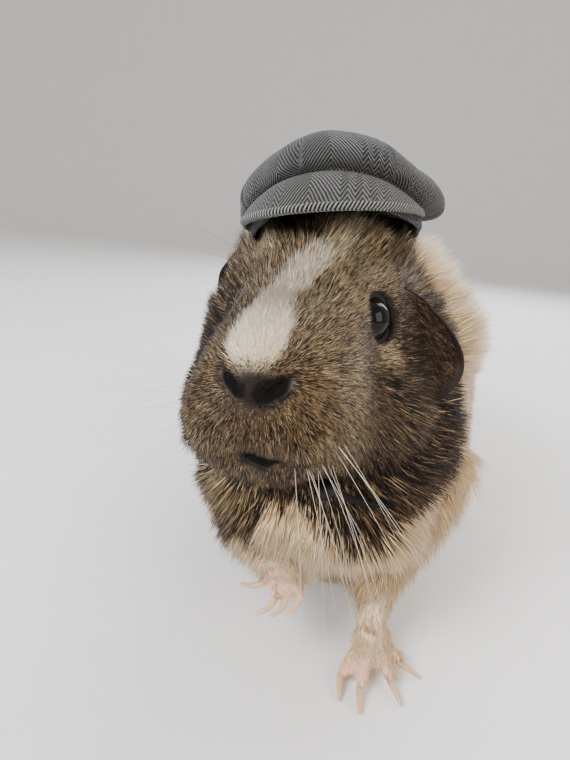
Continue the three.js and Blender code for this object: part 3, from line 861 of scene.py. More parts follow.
@dataclass(frozen=True)
class WhiskerFan:
    """One side's whiskers in the head's frame, each between the first and the last."""

    side: int
    toward: tuple[Place, Place]
    long: float
    roots: tuple[Place, Place] = ((14, -30, -16), (14.5, -28.5, -29))
    sunk: float = 3.0
    droop: float = 5.0

    def line(
        self, place: float, shares: np.ndarray, long: float, spread: Iterable[float] = (0, 0, 0)
    ) -> np.ndarray:
        """Returns points of one whisker.

        Args:
            place: Where it stands in the fan, from 0 to 1.
            shares: Where its points lie, from 0 at the sunk end to 1 at the tip.
            long: Its length, in millimetres.
            spread: What is added to its direction.

        Returns:
            The points, in the animal's frame.
        """
        root = (1 - place) * np.array(self.roots[0]) + place * np.array(self.roots[1])
        toward = (1 - place) * np.array(self.toward[0]) + place * np.array(self.toward[1])
        ahead = unit(toward + np.array(spread))
        far = (long + self.sunk) * shares - self.sunk
        points = root + np.outer(far, ahead) - np.outer(shares**2 * self.droop, [0, 0, 1])
        return HEAD.place(points * [self.side, 1, 1])


WHISKER_FANS = (
    WhiskerFan(LEFT, ((1, 0.2, -0.5), (0.35, 0.08, -1)), 29),
    WhiskerFan(RIGHT, ((1, 0.25, 0.4), (1, 0.05, -0.3)), 39),
)
SOLID_WHISKERS = 5  # on each side of the head's solid
SOLID_WHISKER_RINGS = 3  # of points outside the skin on each


@dataclass
class Hide:
    """The skin as arrays: its surface, and named numbers at each vertex that the coat grows by."""

    points: np.ndarray
    triangles: np.ndarray
    normals: np.ndarray = field(init=False)
    edges: np.ndarray = field(init=False)
    fields: dict[str, np.ndarray] = field(default_factory=dict)

    def __post_init__(self) -> None:
        """Finds the normals and edges."""
        self.find_normals()
        sides = [self.triangles[:, pair] for pair in ([0, 1], [1, 2], [2, 0])]
        self.edges = np.unique(np.sort(np.vstack(sides), axis=1), axis=0)

    def find_normals(self) -> None:
        """Finds each vertex's outward normal from its faces."""
        corners = self.points[self.triangles]
        face = np.cross(corners[:, 1] - corners[:, 0], corners[:, 2] - corners[:, 0])
        total = np.zeros_like(self.points)
        for corner in range(3):
            for axis in range(3):
                total[:, axis] += np.bincount(self.triangles[:, corner], face[:, axis], len(self.points))
        self.normals = unit(total)

    def along(self, vectors: np.ndarray) -> np.ndarray:
        """Returns the vectors, one per vertex, without what of them points out of the skin."""
        return vectors - self.normals * (vectors * self.normals).sum(1, keepdims=True)

    def spread(self, values: np.ndarray, steps: int, share: float = 0.6) -> np.ndarray:
        """Averages values over each vertex's neighbours.

        Args:
            values: One number or row per vertex.
            steps: How often they are averaged.
            share: How much of the neighbours' mean each step takes.

        Returns:
            The values, as soft as the steps make them.
        """
        flat = values.reshape(len(self.points), -1).astype(float)
        a, b = self.edges.T
        count = np.bincount(np.concatenate([a, b]), minlength=len(self.points))[:, None]
        for _ in range(steps):
            around = np.empty_like(flat)
            for axis in range(flat.shape[1]):
                to_first = np.bincount(a, flat[b, axis], len(flat))
                around[:, axis] = to_first + np.bincount(b, flat[a, axis], len(flat))
            flat = (1 - share) * flat + share * around / np.maximum(count, 1)
        return flat.reshape(values.shape)


@dataclass
class Landmarks:
    """Where each point of the skin is among the things that its coat goes by.

    `side`, `nose`, `eye` and `bead` are distances in millimetres, the others are shares from 0 to 1.
    """

    hide: Hide
    zone: dict[Zone, np.ndarray]
    head: np.ndarray = field(init=False)  # the points in the head's frame
    side: np.ndarray = field(init=False)  # from the head's middle
    nose: np.ndarray = field(init=False)
    eye: np.ndarray = field(init=False)  # from the nearer eye's middle
    bead: np.ndarray = field(init=False)  # from the line of sight to the bead
    brim: np.ndarray = field(init=False)  # hair that the cap's edge presses out
    beside: np.ndarray = field(init=False)  # at the cap's sides
    behind: np.ndarray = field(init=False)  # at the back of the cheeks
    ear_root: np.ndarray = field(init=False)
    ruff: np.ndarray = field(init=False)  # at the sides of the neck
    toes: np.ndarray = field(init=False)

    def __post_init__(self) -> None:
        """Measures the distances and shares."""
        self.head = HEAD.local(self.hide.points)
        x, y, z = self.head.T
        self.side = np.abs(x)
        self.nose = np.linalg.norm(self.head - NOSE_TIP, axis=1)
        eyes = [np.linalg.norm(self.head - at, axis=1) for at in (EYE_AT, EYE_AT * MIRROR)]
        self.eye = np.minimum(*eyes)
        self.bead = distance_to_line(self.head, BEAD_SEEN)
        hat = CAP.local(self.hide.points)
        rim = FIT.edge(np.arctan2(hat[:, 1], hat[:, 0])) - hat[:, 2]
        from_middle = np.hypot(hat[:, 0] / FIT.wide, hat[:, 1] / FIT.long)
        self.brim = smooth(11, 5, np.abs(rim)) * smooth(1.5, 1.2, from_middle)
        self.beside = smooth(8, 15, np.abs(hat[:, 0]))
        self.behind = smooth(4, 13, y) * smooth(-16, -4, z)
        self.ear_root = smooth(9, 4, distance_to_line(self.head, EAR_ROOT))
        self.ruff = self.zone[Zone.NECK] * smooth(-14, -2, z) * smooth(8, 18, self.side)
        self.toes = feet_reach(self.hide.points)[1]

    def face_length(self) -> np.ndarray:
        """Finds how long the hair is on the head: short round nose, lips and eyes, longer to the back.

        Returns:
            A length at each point, in millimetres.
        """
        x, y, z = self.head.T
        length = read_off(FACE_LENGTHS, self.nose)
        length += 4.5 * smooth(-27, -37, z) * smooth(-36, -27, y)
        pressed_out = 4.0 * self.behind + (2.5 + 5.5 * self.beside) * self.brim
        far_jowl = 3.0 * smooth(-6, -11, x) * smooth(-26, -32, z) * smooth(-8, -16, y)
        length += pressed_out + far_jowl
        length += 3.0 * self.ear_root
        length = np.minimum(length, 0.5 + 0.55 * np.maximum(self.eye - EYE_RADIUS + 0.5, 0) + 0.6)
        length = np.minimum(length, 0.7 + 0.5 * distance_to_line(self.head, LIPS_APART))
        return np.minimum(length, 1.0 + 0.5 * self.bead)

    def lengths(self) -> dict[Zone, np.ndarray]:
        """Finds how long the hair is, as each zone has it.

        Returns:
            By zone, a length at each point.
        """
        leg = read_off(LEG_LENGTHS, self.hide.points[:, 2])
        return {
            Zone.HEAD: self.face_length(),
            Zone.NECK: np.minimum(10.0 + 6.0 * self.ruff, 1.0 + 0.6 * self.bead),
            Zone.CHEST: np.full(len(leg), 12.0),
            Zone.TORSO: np.full(len(leg), 15.0),
            Zone.FORELEG: leg,
            Zone.HINDLEG: leg * 1.15,
            Zone.FOOT: 3.0 - 1.6 * self.toes,
        }

    def depths(self) -> dict[Zone, np.ndarray]:
        """Finds how deep the skin lies under the coat, as each zone has it.

        Returns:
            By zone, a depth at each point.
        """
        leg = read_off(LEG_DEPTHS, self.hide.points[:, 2])
        face = read_off(FACE_DEPTHS, self.nose)
        return {
            Zone.HEAD: np.minimum(face, 0.2 + 0.3 * np.maximum(self.eye - EYE_RADIUS - 1, 0)),
            Zone.NECK: np.full(len(leg), 4.2),
            Zone.CHEST: np.full(len(leg), 5.0),
            Zone.TORSO: np.full(len(leg), 5.5),
            Zone.FORELEG: leg,
            Zone.HINDLEG: leg,
            Zone.FOOT: np.full(len(leg), 0.0),
        }

    def lies(self) -> dict[Zone, np.ndarray]:
        """Finds which way the hair lies, as each zone has it: back from the nose, down the legs.

        Returns:
            By zone, a direction at each point.
        """
        count = len(self.hide.points)
        out = unit(self.hide.points - HEAD.place(NOSE_TIP)[0])
        return {
            Zone.HEAD: out,
            Zone.NECK: unit(out + np.array([0, 0.4, -0.5])),
            Zone.CHEST: unit(out * 0.3 + np.array([0, 0.15, -1])),
            Zone.TORSO: np.tile(unit(np.array([0, 1, -0.4])), (count, 1)),
            Zone.FORELEG: np.tile(unit(np.array([0, -0.35, -1])), (count, 1)),
            Zone.HINDLEG: np.tile(unit(np.array([0, 0.2, -1])), (count, 1)),
            Zone.FOOT: np.tile(unit(np.array([0, -1, -0.2])), (count, 1)),
        }

    def lie(self) -> np.ndarray:
        """Finds which way the hair lies along the skin, turned out where ruff and cap push it.

        Returns:
            A direction at each point.
        """
        x, _, z = self.head.T
        zone, lies = self.zone, self.lies()
        outward = np.column_stack([np.sign(x) * 1.0, np.full(len(x), 0.5), 0.45 + 0.9 * smooth(4, 18, z)])
        upward = np.column_stack([0.5 * np.sign(x), np.full(len(x), -0.3), np.ones(len(x))])
        lie = sum(lies[k] * zone[k][:, None] for k in Zone) + 1.6 * self.ruff[:, None] * outward
        lie = lie + 2.4 * self.brim[:, None] * upward
        lie = lie - (1.1 * zone[Zone.HEAD] * smooth(-4, -30, z))[:, None] * UP
        return unit(self.hide.along(self.hide.spread(self.hide.along(lie), 12)))

    def ruffled(self) -> np.ndarray:
        """Returns how much the hair stands off the skin more than elsewhere."""
        ruff = np.maximum(self.ruff, np.maximum((0.9 + 1.1 * self.beside) * self.brim, 0.7 * self.ear_root))
        return np.maximum(ruff, 0.9 * self.behind * self.zone[Zone.HEAD] + 0.6 * self.zone[Zone.FOOT])


@dataclass(frozen=True)
class Markings:
    """Where the coat is white and how light or dark it is elsewhere.

    All but the saddle are in the head's frame. The blaze's edges are how far left they lie, by height.
    """

    blaze_left: Curve = (
        (-16, -4.5), (-9, -7.9), (-5, -7.6), (-2, -6.9), (3, -6.3),
        (7, -4.1), (11, -1.7), (15, 1.3), (24, 6),
    )
    blaze_right: Curve = (
        (-14, 1.0), (-10, 4), (-7, 4.6), (-4, 3.8), (-1, 2.7),
        (4, 2.7), (8, 4.7), (12, 7.3), (18, 10.2), (24, 12),
    )
    blaze_fading: Curve = ((1, 1), (9, 0.66), (20, 0.46))
    # How low the agouti reaches, from the right side to the left.
    lowest: Curve = (
        (-16, -62), (-10, -58), (-5.4, -52), (-1.6, -46.5), (3.4, -45), (9.7, -46.5),
        (15.5, -48), (21, -48), (25.4, -45), (28.3, -43), (33.6, -40), (38.4, -38),
    )
    # How far back the agouti reaches, by height.
    back_left: Curve = ((-44, -1), (-36, 6), (-26, 15), (-10, 21), (10, 22), (30, 23))
    back_right: Curve = ((-68, -14), (-60, 9), (-45, 15), (-25, 17), (-10, 18), (10, 20), (30, 22))
    saddle_at: tuple[float, float] = (66.0, 88.0)  # how far back and how high its middle is
    saddle_radius: float = 34.0
    saddle_long: float = 0.9  # its length as a share of its height

    def blaze(self, head: np.ndarray, wander: np.ndarray) -> np.ndarray:
        """Finds the white stripe between the eyes.

        Args:
            head: The points, in the head's frame.
            wander: What makes its edge uneven, from -1 to 1.

        Returns:
            How much each point belongs to it, from 0 to 1.
        """
        x, y, z = head.T
        left, right = read_off(self.blaze_left, z), read_off(self.blaze_right, z)
        inside = np.minimum(x - left, right - x) + 0.8 * wander
        fading = smooth(-15, -9, z) * smooth(2, -6, y) * read_off(self.blaze_fading, z)
        return smooth(-1.8, 1.6, inside) * fading

    def cream(self, marks: Landmarks, wander: np.ndarray) -> np.ndarray:
        """Finds the cream of throat, body and legs.

        Args:
            marks: The landmarks.
            wander: What makes its edge uneven, from -1 to 1.

        Returns:
            How much each point belongs to it, from 0 to 1.
        """
        x, y, z = marks.head.T
        share = smooth(-2, -10, x)
        back = (1 - share) * read_off(self.back_left, z) + share * read_off(self.back_right, z)
        high_enough = smooth(-2.0, 2.0, z - read_off(self.lowest, x) + 1.5 * wander)
        white = 1 - high_enough * smooth(-2.0, 2.0, back - y + 2.0 * wander)
        world = marks.hide.points
        behind, above = world[:, 1] - self.saddle_at[0], world[:, 2] - self.saddle_at[1]
        away = np.hypot(behind / self.saddle_long, above)
        saddle = smooth(6, -6, away - self.saddle_radius - 6 * wander)
        return white * (1 - saddle * marks.zone[Zone.TORSO])

    def paint(self, marks: Landmarks) -> None:
        """Adds the markings, and painted shade on chest and legs, to the hide's fields.

        Args:
            marks: The landmarks.
        """
        hide, zone = marks.hide, marks.zone
        x, y, z = marks.head.T
        wander = ripple(hide.points, 9.0, 3)
        blaze = self.blaze(marks.head, wander)
        legs = zone[Zone.FORELEG] + zone[Zone.HINDLEG] + zone[Zone.FOOT]
        white = np.maximum(self.cream(marks, wander), np.clip(legs, 0, 1))
        hide.fields["white"] = np.clip(np.maximum(white, blaze), 0, 1)
        cheek = smooth(34, 12, np.hypot(np.abs(x) - 30, z + 14)) * smooth(-18, 2, y)
        jowl = smooth(-24, -36, z) * (0.35 + 0.65 * smooth(-4, 8, x))
        brow = smooth(-8, 6, z) * smooth(24, 12, np.abs(x)) * smooth(8, -4, y)
        philtrum = smooth(4.5, 2.0, np.abs(x - 0.5)) * smooth(-34, -36, y) * smooth(-32, -27, z)
        patchy = ripple(hide.points, 14.0, 5)
        tone = 0.54 + 0.36 * brow - 0.24 * cheek - 0.26 * jowl - 0.2 * philtrum + 0.12 * patchy
        beside_eye = np.column_stack([np.abs(x) - 20.0, y + 3.0, z + 7.0])
        patch = smooth(6.5, 2.5, np.linalg.norm(beside_eye, axis=1))
        throat = zone[Zone.NECK] * smooth(2, -8, x)
        # Painted shade: the tone of chest and legs is lowered, so that their cream hair is darker.
        painted_shade = 0.22 * (legs + zone[Zone.CHEST])
        hide.fields["tone"] = np.clip(tone + 0.6 * patch + 0.3 * throat + 0.5 * blaze - painted_shade, 0, 1)
        streaks = 0.5 + 0.5 * ripple(hide.points, 5.0, 8)
        guard = 0.3 + 0.28 * cheek + 0.16 * jowl + 0.24 * streaks - 0.1 * brow - 0.3 * patch
        hide.fields["guard"] = np.clip(guard - 0.2 * throat, 0.03, 0.8)


@dataclass
class Skin:
    """One skin over all the flesh, inside the solids by the depth of the coat."""

    voxel: float = 0.9
    swell: float = 0.3  # closes the gaps between the flesh nodes
    most_triangles: int = 180_000
    razor: float = 0.6  # how near the middle of a solid whisker's ring its own points are
    rounding: float = 0.9  # how much of its facets the skin loses
    clearance: float = 0.15  # between the soles and the floor

    def shell(self) -> Object:
        """Joins copies of the flesh nodes and closes their gaps and seams.

        Returns:
            One closed surface.
        """
        copies = [merged_copy(node, f"flesh_{node}") for node in FLESH]
        self.shave(copies[FLESH.index("head")])
        for copy in copies:
            part = Hide(mesh_points(copy), mesh_triangles(copy))
            set_points(copy, part.points + part.normals * self.swell)
        shell = join(copies, "skin")
        apply_modifier(shell, "REMESH", mode="VOXEL", voxel_size=self.voxel * MM, adaptivity=0.0)
        apply_modifier(shell, "TRIANGULATE")
        count = len(shell.data.polygons)
        if count > self.most_triangles:
            apply_modifier(shell, "DECIMATE", ratio=self.most_triangles / count)
        return shell

    def shave(self, head: Object) -> None:
        """Takes the solid whiskers off a head and closes the holes that they leave.

        Args:
            head: A merged copy of the head's node.
        """
        points = mesh_points(head)
        nearest = np.full(len(points), np.inf)
        rings = np.arange(1, SOLID_WHISKER_RINGS + 1) / SOLID_WHISKER_RINGS
        for fan in WHISKER_FANS:
            for place in np.linspace(0, 1, SOLID_WHISKERS):
                for spot in fan.line(place, rings, fan.long):
                    nearest = np.minimum(nearest, np.linalg.norm(points - spot, axis=1))
        shell = bmesh.new()
        shell.from_mesh(head.data)
        shell.verts.ensure_lookup_table()
        shaved = [shell.verts[i] for i in np.nonzero(nearest < self.razor)[0]]
        log.info("shaved %d points off the head", len(shaved))
        bmesh.ops.delete(shell, geom=shaved, context="VERTS")
        rims = [edge for edge in shell.edges if edge.is_boundary]
        bmesh.ops.holes_fill(shell, edges=rims, sides=0)
        bmesh.ops.triangulate(shell, faces=shell.faces)
        shell.to_mesh(head.data)
        shell.free()

    def zones(self, hide: Hide) -> dict[Zone, np.ndarray]:
        """Finds the zone of each vertex by the nearest CAD node.

        Args:
            hide: The skin.

        Returns:
            How much each vertex belongs to each zone, softly blended across their borders.
        """
        corners, faces, owner = [], [], []
        count = 0
        for number, zone in enumerate(Zone):
            for node in zone.value:
                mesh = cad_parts[node]
                points, triangles = mesh_points(mesh), mesh_triangles(mesh)
                corners.append(points)
                faces.append(triangles + count)
                owner += [number] * len(triangles)
                count += len(points)
        tree = BVHTree.FromPolygons(np.vstack(corners).tolist(), np.vstack(faces).tolist())
        nearest = np.array([owner[tree.find_nearest(Vector(p))[2]] for p in hide.points])
        blend = hide.spread(np.eye(len(Zone))[nearest], 10)
        return {zone: blend[:, i] for i, zone in enumerate(Zone)}

    def measure(self, hide: Hide) -> None:
        """Fills in the hide's fields: how long, how deep and how ruffled its coat is and how it lies.

        Args:
            hide: The skin.
        """
        marks = Landmarks(hide, self.zones(hide))
        zone, lengths, depths = marks.zone, marks.lengths(), marks.depths()
        hide.fields["lie"] = marks.lie()
        hide.fields["length"] = hide.spread(sum(lengths[k] * zone[k] for k in Zone), 3)
        hide.fields["depth"] = hide.spread(sum(depths[k] * zone[k] for k in Zone), 6)
        hide.fields["ruff"] = marks.ruffled()
        for key in Zone:
            hide.fields[key.name.lower()] = zone[key]
        self.openings(marks)
        Markings().paint(marks)

    def openings(self, marks: Landmarks) -> None:
        """Adds dark skin at nose pad and lids, painted shade in nostrils and parted lips, and where skin is
        bald or bare.

        Args:
            marks: The landmarks.
        """
        fields, zone = marks.hide.fields, marks.zone
        x, y, z = marks.head.T
        far_nostril = 1.35 * distance_to_line(marks.head * MIRROR, NOSTRIL)
        nostrils = np.minimum(distance_to_line(marks.head, NOSTRIL), far_nostril)
        lids = smooth(EYE_RADIUS + 2.0, EYE_RADIUS + 0.9, marks.eye)
        lip_half = np.interp(x, [1, 3.5, 6.6], [1.4, 1.35, 0.85])
        lips = distance_to_line(marks.head, LIPS_APART) / lip_half
        parted = smooth(-33, -34, y)
        flared = smooth(8.4, 7.0, marks.side) * smooth(-11.5, -13.5, z)
        pad = 0.85 * smooth(4.4, 2.4, np.hypot((x - 1) / 1.4, z + 16.9)) * smooth(-34, -37, y)
        # Painted shade: the nostrils and the gap between the parted lips are coloured nearly black.
        holes = flared * smooth(2.6, 1.5, nostrils) + parted * smooth(2.7, 1.9, lips)
        on_head = smooth(0.3, 0.7, zone[Zone.HEAD] + zone[Zone.NECK])
        fields["dark"] = np.clip(holes + pad + lids, 0, 1) * on_head
        open_places = flared * smooth(1.45, 1.0, nostrils) + parted * smooth(1.9, 1.4, lips)
        lid_rims = smooth(EYE_RADIUS + 1.2, EYE_RADIUS + 0.6, marks.eye)
        fields["bald"] = np.clip(open_places + lid_rims, 0, 1)
        fields["bare"] = zone[Zone.FOOT] * (0.25 + 0.75 * marks.toes)

    def build(self) -> Hide:
        """Makes and finishes the skin.

        Returns:
            Its surface, for the coat to grow on.
        """
        shell = self.shell()
        hide = Hide(mesh_points(shell), mesh_triangles(shell))
        from_nose = np.linalg.norm(HEAD.local(hide.points) - NOSE_TIP, axis=1)
        fine = np.maximum(smooth(34, 22, from_nose), feet_reach(hide.points)[0])
        rounder = hide.spread(hide.points, 26)
        hide.points = hide.points + (rounder - hide.points) * (1 - fine[:, None]) * self.rounding
        hide.points = hide.points + (hide.spread(hide.points, 2) - hide.points) * fine[:, None]
        hide.find_normals()
        self.measure(hide)
        inward = unit(hide.spread(hide.normals, 8))
        hide.points = hide.points - inward * (hide.fields["depth"] + self.swell)[:, None]
        hide.points = hide.spread(hide.points, 1)
        hide.points[:, 2] = np.maximum(hide.points[:, 2], self.clearance)
        hide.find_normals()
        set_points(shell, hide.points)
        smooth_all(shell)
        for name in ("white", "dark", "bare"):
            add_floats(shell, name, hide.fields[name])
        finish_piece(shell, SkinFinish().make(), FLESH)
        return hide


# --------------------------------------------------------------------- the coat


@dataclass
class Roots:
    """Where hairs leave the skin, and the skin's numbers there."""

    points: np.ndarray
    normals: np.ndarray
    numbers: dict[str, np.ndarray]

    def __len__(self) -> int:
        """Returns how many hairs there are."""
        return len(self.points)

    def only(self, kept: np.ndarray) -> "Roots":
        """Returns the roots for which `kept` is true."""
        numbers = {name: values[kept] for name, values in self.numbers.items()}
        return Roots(self.points[kept], self.normals[kept], numbers)


def scatter(hide: Hide, density: np.ndarray, count: int, rng: np.random.Generator) -> Roots:
    """Scatters roots over the skin.

    Args:
        hide: The skin.
        density: How thickly hairs stand at each vertex, in any unit.
        count: How many roots to make.
        rng: The source of chance.

    Returns:
        The roots.
    """
    corners = hide.points[hide.triangles]
    across = np.cross(corners[:, 1] - corners[:, 0], corners[:, 2] - corners[:, 0])
    area = np.linalg.norm(across, axis=1) / 2
    weight = area * density[hide.triangles].mean(axis=1)
    chosen = rng.choice(len(weight), count, p=weight / weight.sum())
    u, v = rng.uniform(size=(2, count))
    over = u + v > 1
    u[over], v[over] = 1 - u[over], 1 - v[over]
    shares = np.column_stack([1 - u - v, u, v])
    at = hide.triangles[chosen]

    def blended(values: np.ndarray) -> np.ndarray:
        """Blends the values of each root's three corners.

        Args:
            values: A value, or a row of them, for each vertex.

        Returns:
            The same for each root.
        """
        if values.ndim == 1:
            return (values[at] * shares).sum(axis=1)
        return (values[at] * shares[:, :, None]).sum(axis=1)

    numbers = {name: blended(values) for name, values in hide.fields.items()}
    return Roots(blended(hide.points), unit(blended(hide.normals)), numbers)


@dataclass(frozen=True)
class Unrolled:
    """An unwrap of part of the skin onto a square, by direction from a middle or round and along an axis."""

    middle: Place
    axis: Place
    reach: float = 0.0  # half the length along the axis, or 0 to go by direction alone
    margin: float = 0.02  # left free round the square, as a share of it

    def flatten(self, points: np.ndarray) -> np.ndarray:
        """Unwraps points.

        Args:
            points: The points.

        Returns:
            Each point's place on the square, from 0 to 1 both ways.
        """
        axis = unit(np.array(self.axis, float))
        first = unit(np.cross(axis, [0.3, 0.1, 1.0]))
        second = np.cross(axis, first)
        away = points - np.array(self.middle)
        along = away @ axis
        around = np.arctan2(away @ second, away @ first)
        if self.reach:
            flat = np.column_stack([around / (2 * math.pi) + 0.5, along / (2 * self.reach) + 0.5])
        else:
            out = np.arccos(np.clip(along / np.linalg.norm(away, axis=1), -1, 1)) / math.pi
            flat = 0.5 + 0.5 * out[:, None] * np.column_stack([np.cos(around), np.sin(around)])
        return self.margin + (1 - 2 * self.margin) * np.clip(flat, 0, 1)


HAIR_SECTION = ((-1.0, 0.0), (1.0, 0.0), (0.0, 0.8))  # across and out, in halves of the width
HAIR_WIDTHS: Curve = ((0.5, 0.5), (2.5, 0.75), (6, 1.0), (14, 1.25))  # shares of the width, by the length


@dataclass
class Coat:
    """Hair of one part of the body: solid tapered three-sided hairs in joined meshes.

    Lengths, widths and depths are millimetres. `rise` and `lay` are a hair's angles to the skin at its root
    and its tip, in degrees.
    """

    name: str
    pieces: int
    hairs: int  # in each piece
    steps: int  # along each hair
    width: float
    unrolled: Unrolled
    seed: int
    weight: Callable[[Hide], np.ndarray]
    rise: float = 36.0
    lay: float = 4.0
    droop: float = 0.04  # the share of its own weight in a hair's direction
    clump: float = 0.35  # how far the tips of a clump draw together
    per_clump: int = 9
    stray: float = 9.0  # degrees that single hairs lie askew
    wave: float = 14.0  # degrees that the whole lie wanders
    wave_size: float = 6.0
    lifted: float = 0.22  # the share by which the angles differ from hair to hair
    ruffled: float = 0.9  # the share by which a ruff's hairs stand up more
    borrowed: float = 0.6  # how far a clump's hairs gather on its own middle
    uneven: tuple[float, float] = (0.75, 1.2)  # the shares of its length that a hair has
    sunk: float = 0.35
    taper: float = 0.45
    patch: float = 0.003  # the width of a hair on the unwrap
    keep: Callable[[Roots], np.ndarray] | None = None

    def grow(self, hide: Hide, finish: Material, slot: str) -> None:
        """Makes and finishes the coat's pieces.

        Args:
            hide: The skin.
            finish: The hair's material.
            slot: Not used.
        """
        for number in range(self.pieces):
            rng = np.random.default_rng(self.seed + number)
            density = self.weight(hide) * (1 - hide.fields["bald"])
            roots = scatter(hide, density, self.hairs, rng)
            kept = ~under_cap(roots.points)
            if self.keep is not None:
                kept &= self.keep(roots)
            piece = self.tufts(roots.only(kept), rng, f"{self.name}_{number + 1}")
            finish_piece(piece, finish)

    def spines(self, roots: Roots, rng: np.random.Generator) -> np.ndarray:
        """Bends each hair.

        Args:
            roots: The roots.
            rng: The source of chance.

        Returns:
            The middle line of each hair, from root to tip.
        """
        count = len(roots)
        shares = np.linspace(0, 1, self.steps + 1)
        lie = roots.numbers["lie"]
        lie = unit(lie - roots.normals * (lie * roots.normals).sum(1, keepdims=True))
        across = np.cross(roots.normals, lie)
        wander = self.wave * ripple(roots.points, self.wave_size, self.seed + 40)
        stray = np.radians(rng.normal(0, self.stray, count) + wander)
        lie = lie * np.cos(stray)[:, None] + across * np.sin(stray)[:, None]
        length = roots.numbers["length"] * rng.uniform(*self.uneven, count)
        lift = rng.normal(1.0, self.lifted, count) + self.ruffled * roots.numbers["ruff"]
        spines = np.empty((count, self.steps + 1, 3))
        spines[:, 0] = roots.points - roots.normals * self.sunk
        for i in range(self.steps):
            middle = (shares[i] + shares[i + 1]) / 2
            angle = np.radians((self.rise + (self.lay - self.rise) * middle) * lift)[:, None]
            step = lie * np.cos(angle) + roots.normals * np.sin(angle) - UP * self.droop * middle
            spines[:, i + 1] = spines[:, i] + unit(step) * (length / self.steps)[:, None]
        return self.gathered(spines, roots)

    def gathered(self, spines: np.ndarray, roots: Roots) -> np.ndarray:
        """Draws the tips of neighbouring hairs together, as coats clump.

        Args:
            spines: The middle line of each hair.
            roots: The roots.

        Returns:
            The lines, gathered towards the nearest clump's own.
        """
        leaders = np.arange(0, len(roots), self.per_clump)
        tree = KDTree(len(leaders))
        for i, leader in enumerate(leaders):
            tree.insert(Vector(roots.points[leader]), i)
        tree.balance()
        nearest = leaders[np.array([tree.find(Vector(p))[1] for p in roots.points])]
        pull = (np.linspace(0, 1, self.steps + 1) ** 1.4 * self.clump)[None, :, None]
        offset = spines[nearest] - roots.points[nearest][:, None]
        own, middle = roots.points[:, None], roots.points[nearest][:, None]
        target = own * (1 - self.borrowed) + middle * self.borrowed + offset
        return spines * (1 - pull) + target * pull

    def tufts(self, roots: Roots, rng: np.random.Generator, name: str) -> Object:
        """Makes the hairs on the roots as one mesh.

        Args:
            roots: The roots.
            rng: The source of chance.
            name: The mesh's name.

        Returns:
            The mesh, with each hair's numbers and its place on the unwrap.
        """
        spines = self.spines(roots, rng)
        count = len(roots)
        ahead = unit(np.diff(spines, axis=1))
        side = unit(np.cross(ahead, roots.normals[:, None]))
        ridge = unit(np.cross(side, ahead))
        shares = np.linspace(0, 1, self.steps + 1)[:-1]
        width = self.width * read_off(HAIR_WIDTHS, roots.numbers["length"]) * rng.uniform(0.7, 1.25, count)
        half = width[:, None] / 2 * (1 - self.taper * shares**2)[None]
        last = len(HAIR_SECTION) * self.steps
        corners = np.empty((count, last + 1, 3))
        for corner, (across, out) in enumerate(HAIR_SECTION):
            offset = half[..., None] * (across * side + out * ridge)
            corners[:, corner : last : len(HAIR_SECTION)] = spines[:, :-1] + offset
        corners[:, -1] = spines[:, -1]
        pattern = self.faces()
        triangles = (pattern[None] + (np.arange(count) * (last + 1))[:, None, None]).reshape(-1, 3)
        piece = piece_from_arrays(name, corners.reshape(-1, 3), triangles)
        along = np.append(np.repeat(shares, len(HAIR_SECTION)), 1.0)
        add_floats(piece, "along", np.tile(along, count))
        for key, values in self.hair_numbers(roots, rng).items():
            add_floats(piece, key, np.repeat(values, last + 1))
        patch = np.empty((last + 1, 2))
        patch[:-1, 0] = np.tile([across / 2 for across, _ in HAIR_SECTION], self.steps)
        patch[-1, 0] = 0.0
        patch[:, 1] = along - 0.5
        flat = self.unrolled.flatten(roots.points)[:, None] + self.patch * patch[None]
        layer = piece.data.uv_layers.new(name="OFBake")
        layer.data.foreach_set("uv", flat.reshape(-1, 2)[triangles.ravel()].astype(np.float32).ravel())
        return piece

    def faces(self) -> np.ndarray:
        """Lists one hair's triangles: its root's cap, its sides and its point.

        Returns:
            The numbers of their corners, three to a row.
        """
        sides = ((0, 1), (1, 2), (2, 0))
        pattern = [(0, 1, 2)]
        for low in range(0, 3 * (self.steps - 1), 3):
            high = low + 3
            for a, b in sides:
                pattern += [(low + a, high + a, low + b), (low + b, high + a, high + b)]
        low, tip = 3 * (self.steps - 1), 3 * self.steps
        pattern += [(low + a, tip, low + b) for a, b in sides]
        return np.array(pattern)

    @staticmethod
    def hair_numbers(roots: Roots, rng: np.random.Generator) -> dict[str, np.ndarray]:
        """Draws each hair's own colour from the skin's.

        Args:
            roots: The roots.
            rng: The source of chance.

        Returns:
            The numbers that the material reads, one per hair.
        """
        count = len(roots)
        return {
            "seed": rng.uniform(size=count),
            "white": smooth(0.38, 0.62, roots.numbers["white"] + rng.normal(0, 0.2, count)),
            "tone": np.clip(roots.numbers["tone"] + rng.normal(0, 0.25, count), 0, 1),
            "guard": (rng.uniform(size=count) < roots.numbers["guard"]).astype(float),
            "dark": roots.numbers["dark"],
        }


@dataclass(frozen=True)
class CapFit:
    """The cap's oval band, in the cap's own frame: its lower edge dips at both sides."""

    wide: float = 24.0
    long: float = 21.0
    low: float = 6.0
    high: float = 17.0
    sag: float = 7.0
    cover: float = 3.0  # how far within the band's outline hair starts to be out of sight
    hidden: float = 6.0  # how far below the edge it still is

    def edge(self, around: np.ndarray) -> np.ndarray:
        """Returns how high the lower edge is at angles round the band."""
        return self.low - self.sag * np.cos(around) ** 2


FIT = CapFit()


def under_cap(points: np.ndarray) -> np.ndarray:
    """Finds the points that lie so far under the cap that no hair there shows.

    Args:
        points: The points.

    Returns:
        True for each that does.
    """
    x, y, z = CAP.local(points).T
    inside = np.hypot(x / (FIT.wide - FIT.cover), y / (FIT.long - FIT.cover)) < 1
    return inside & (z > FIT.edge(np.arctan2(y, x)) - FIT.hidden)


# ------------------------------------------------------------ eyes, ears, claws


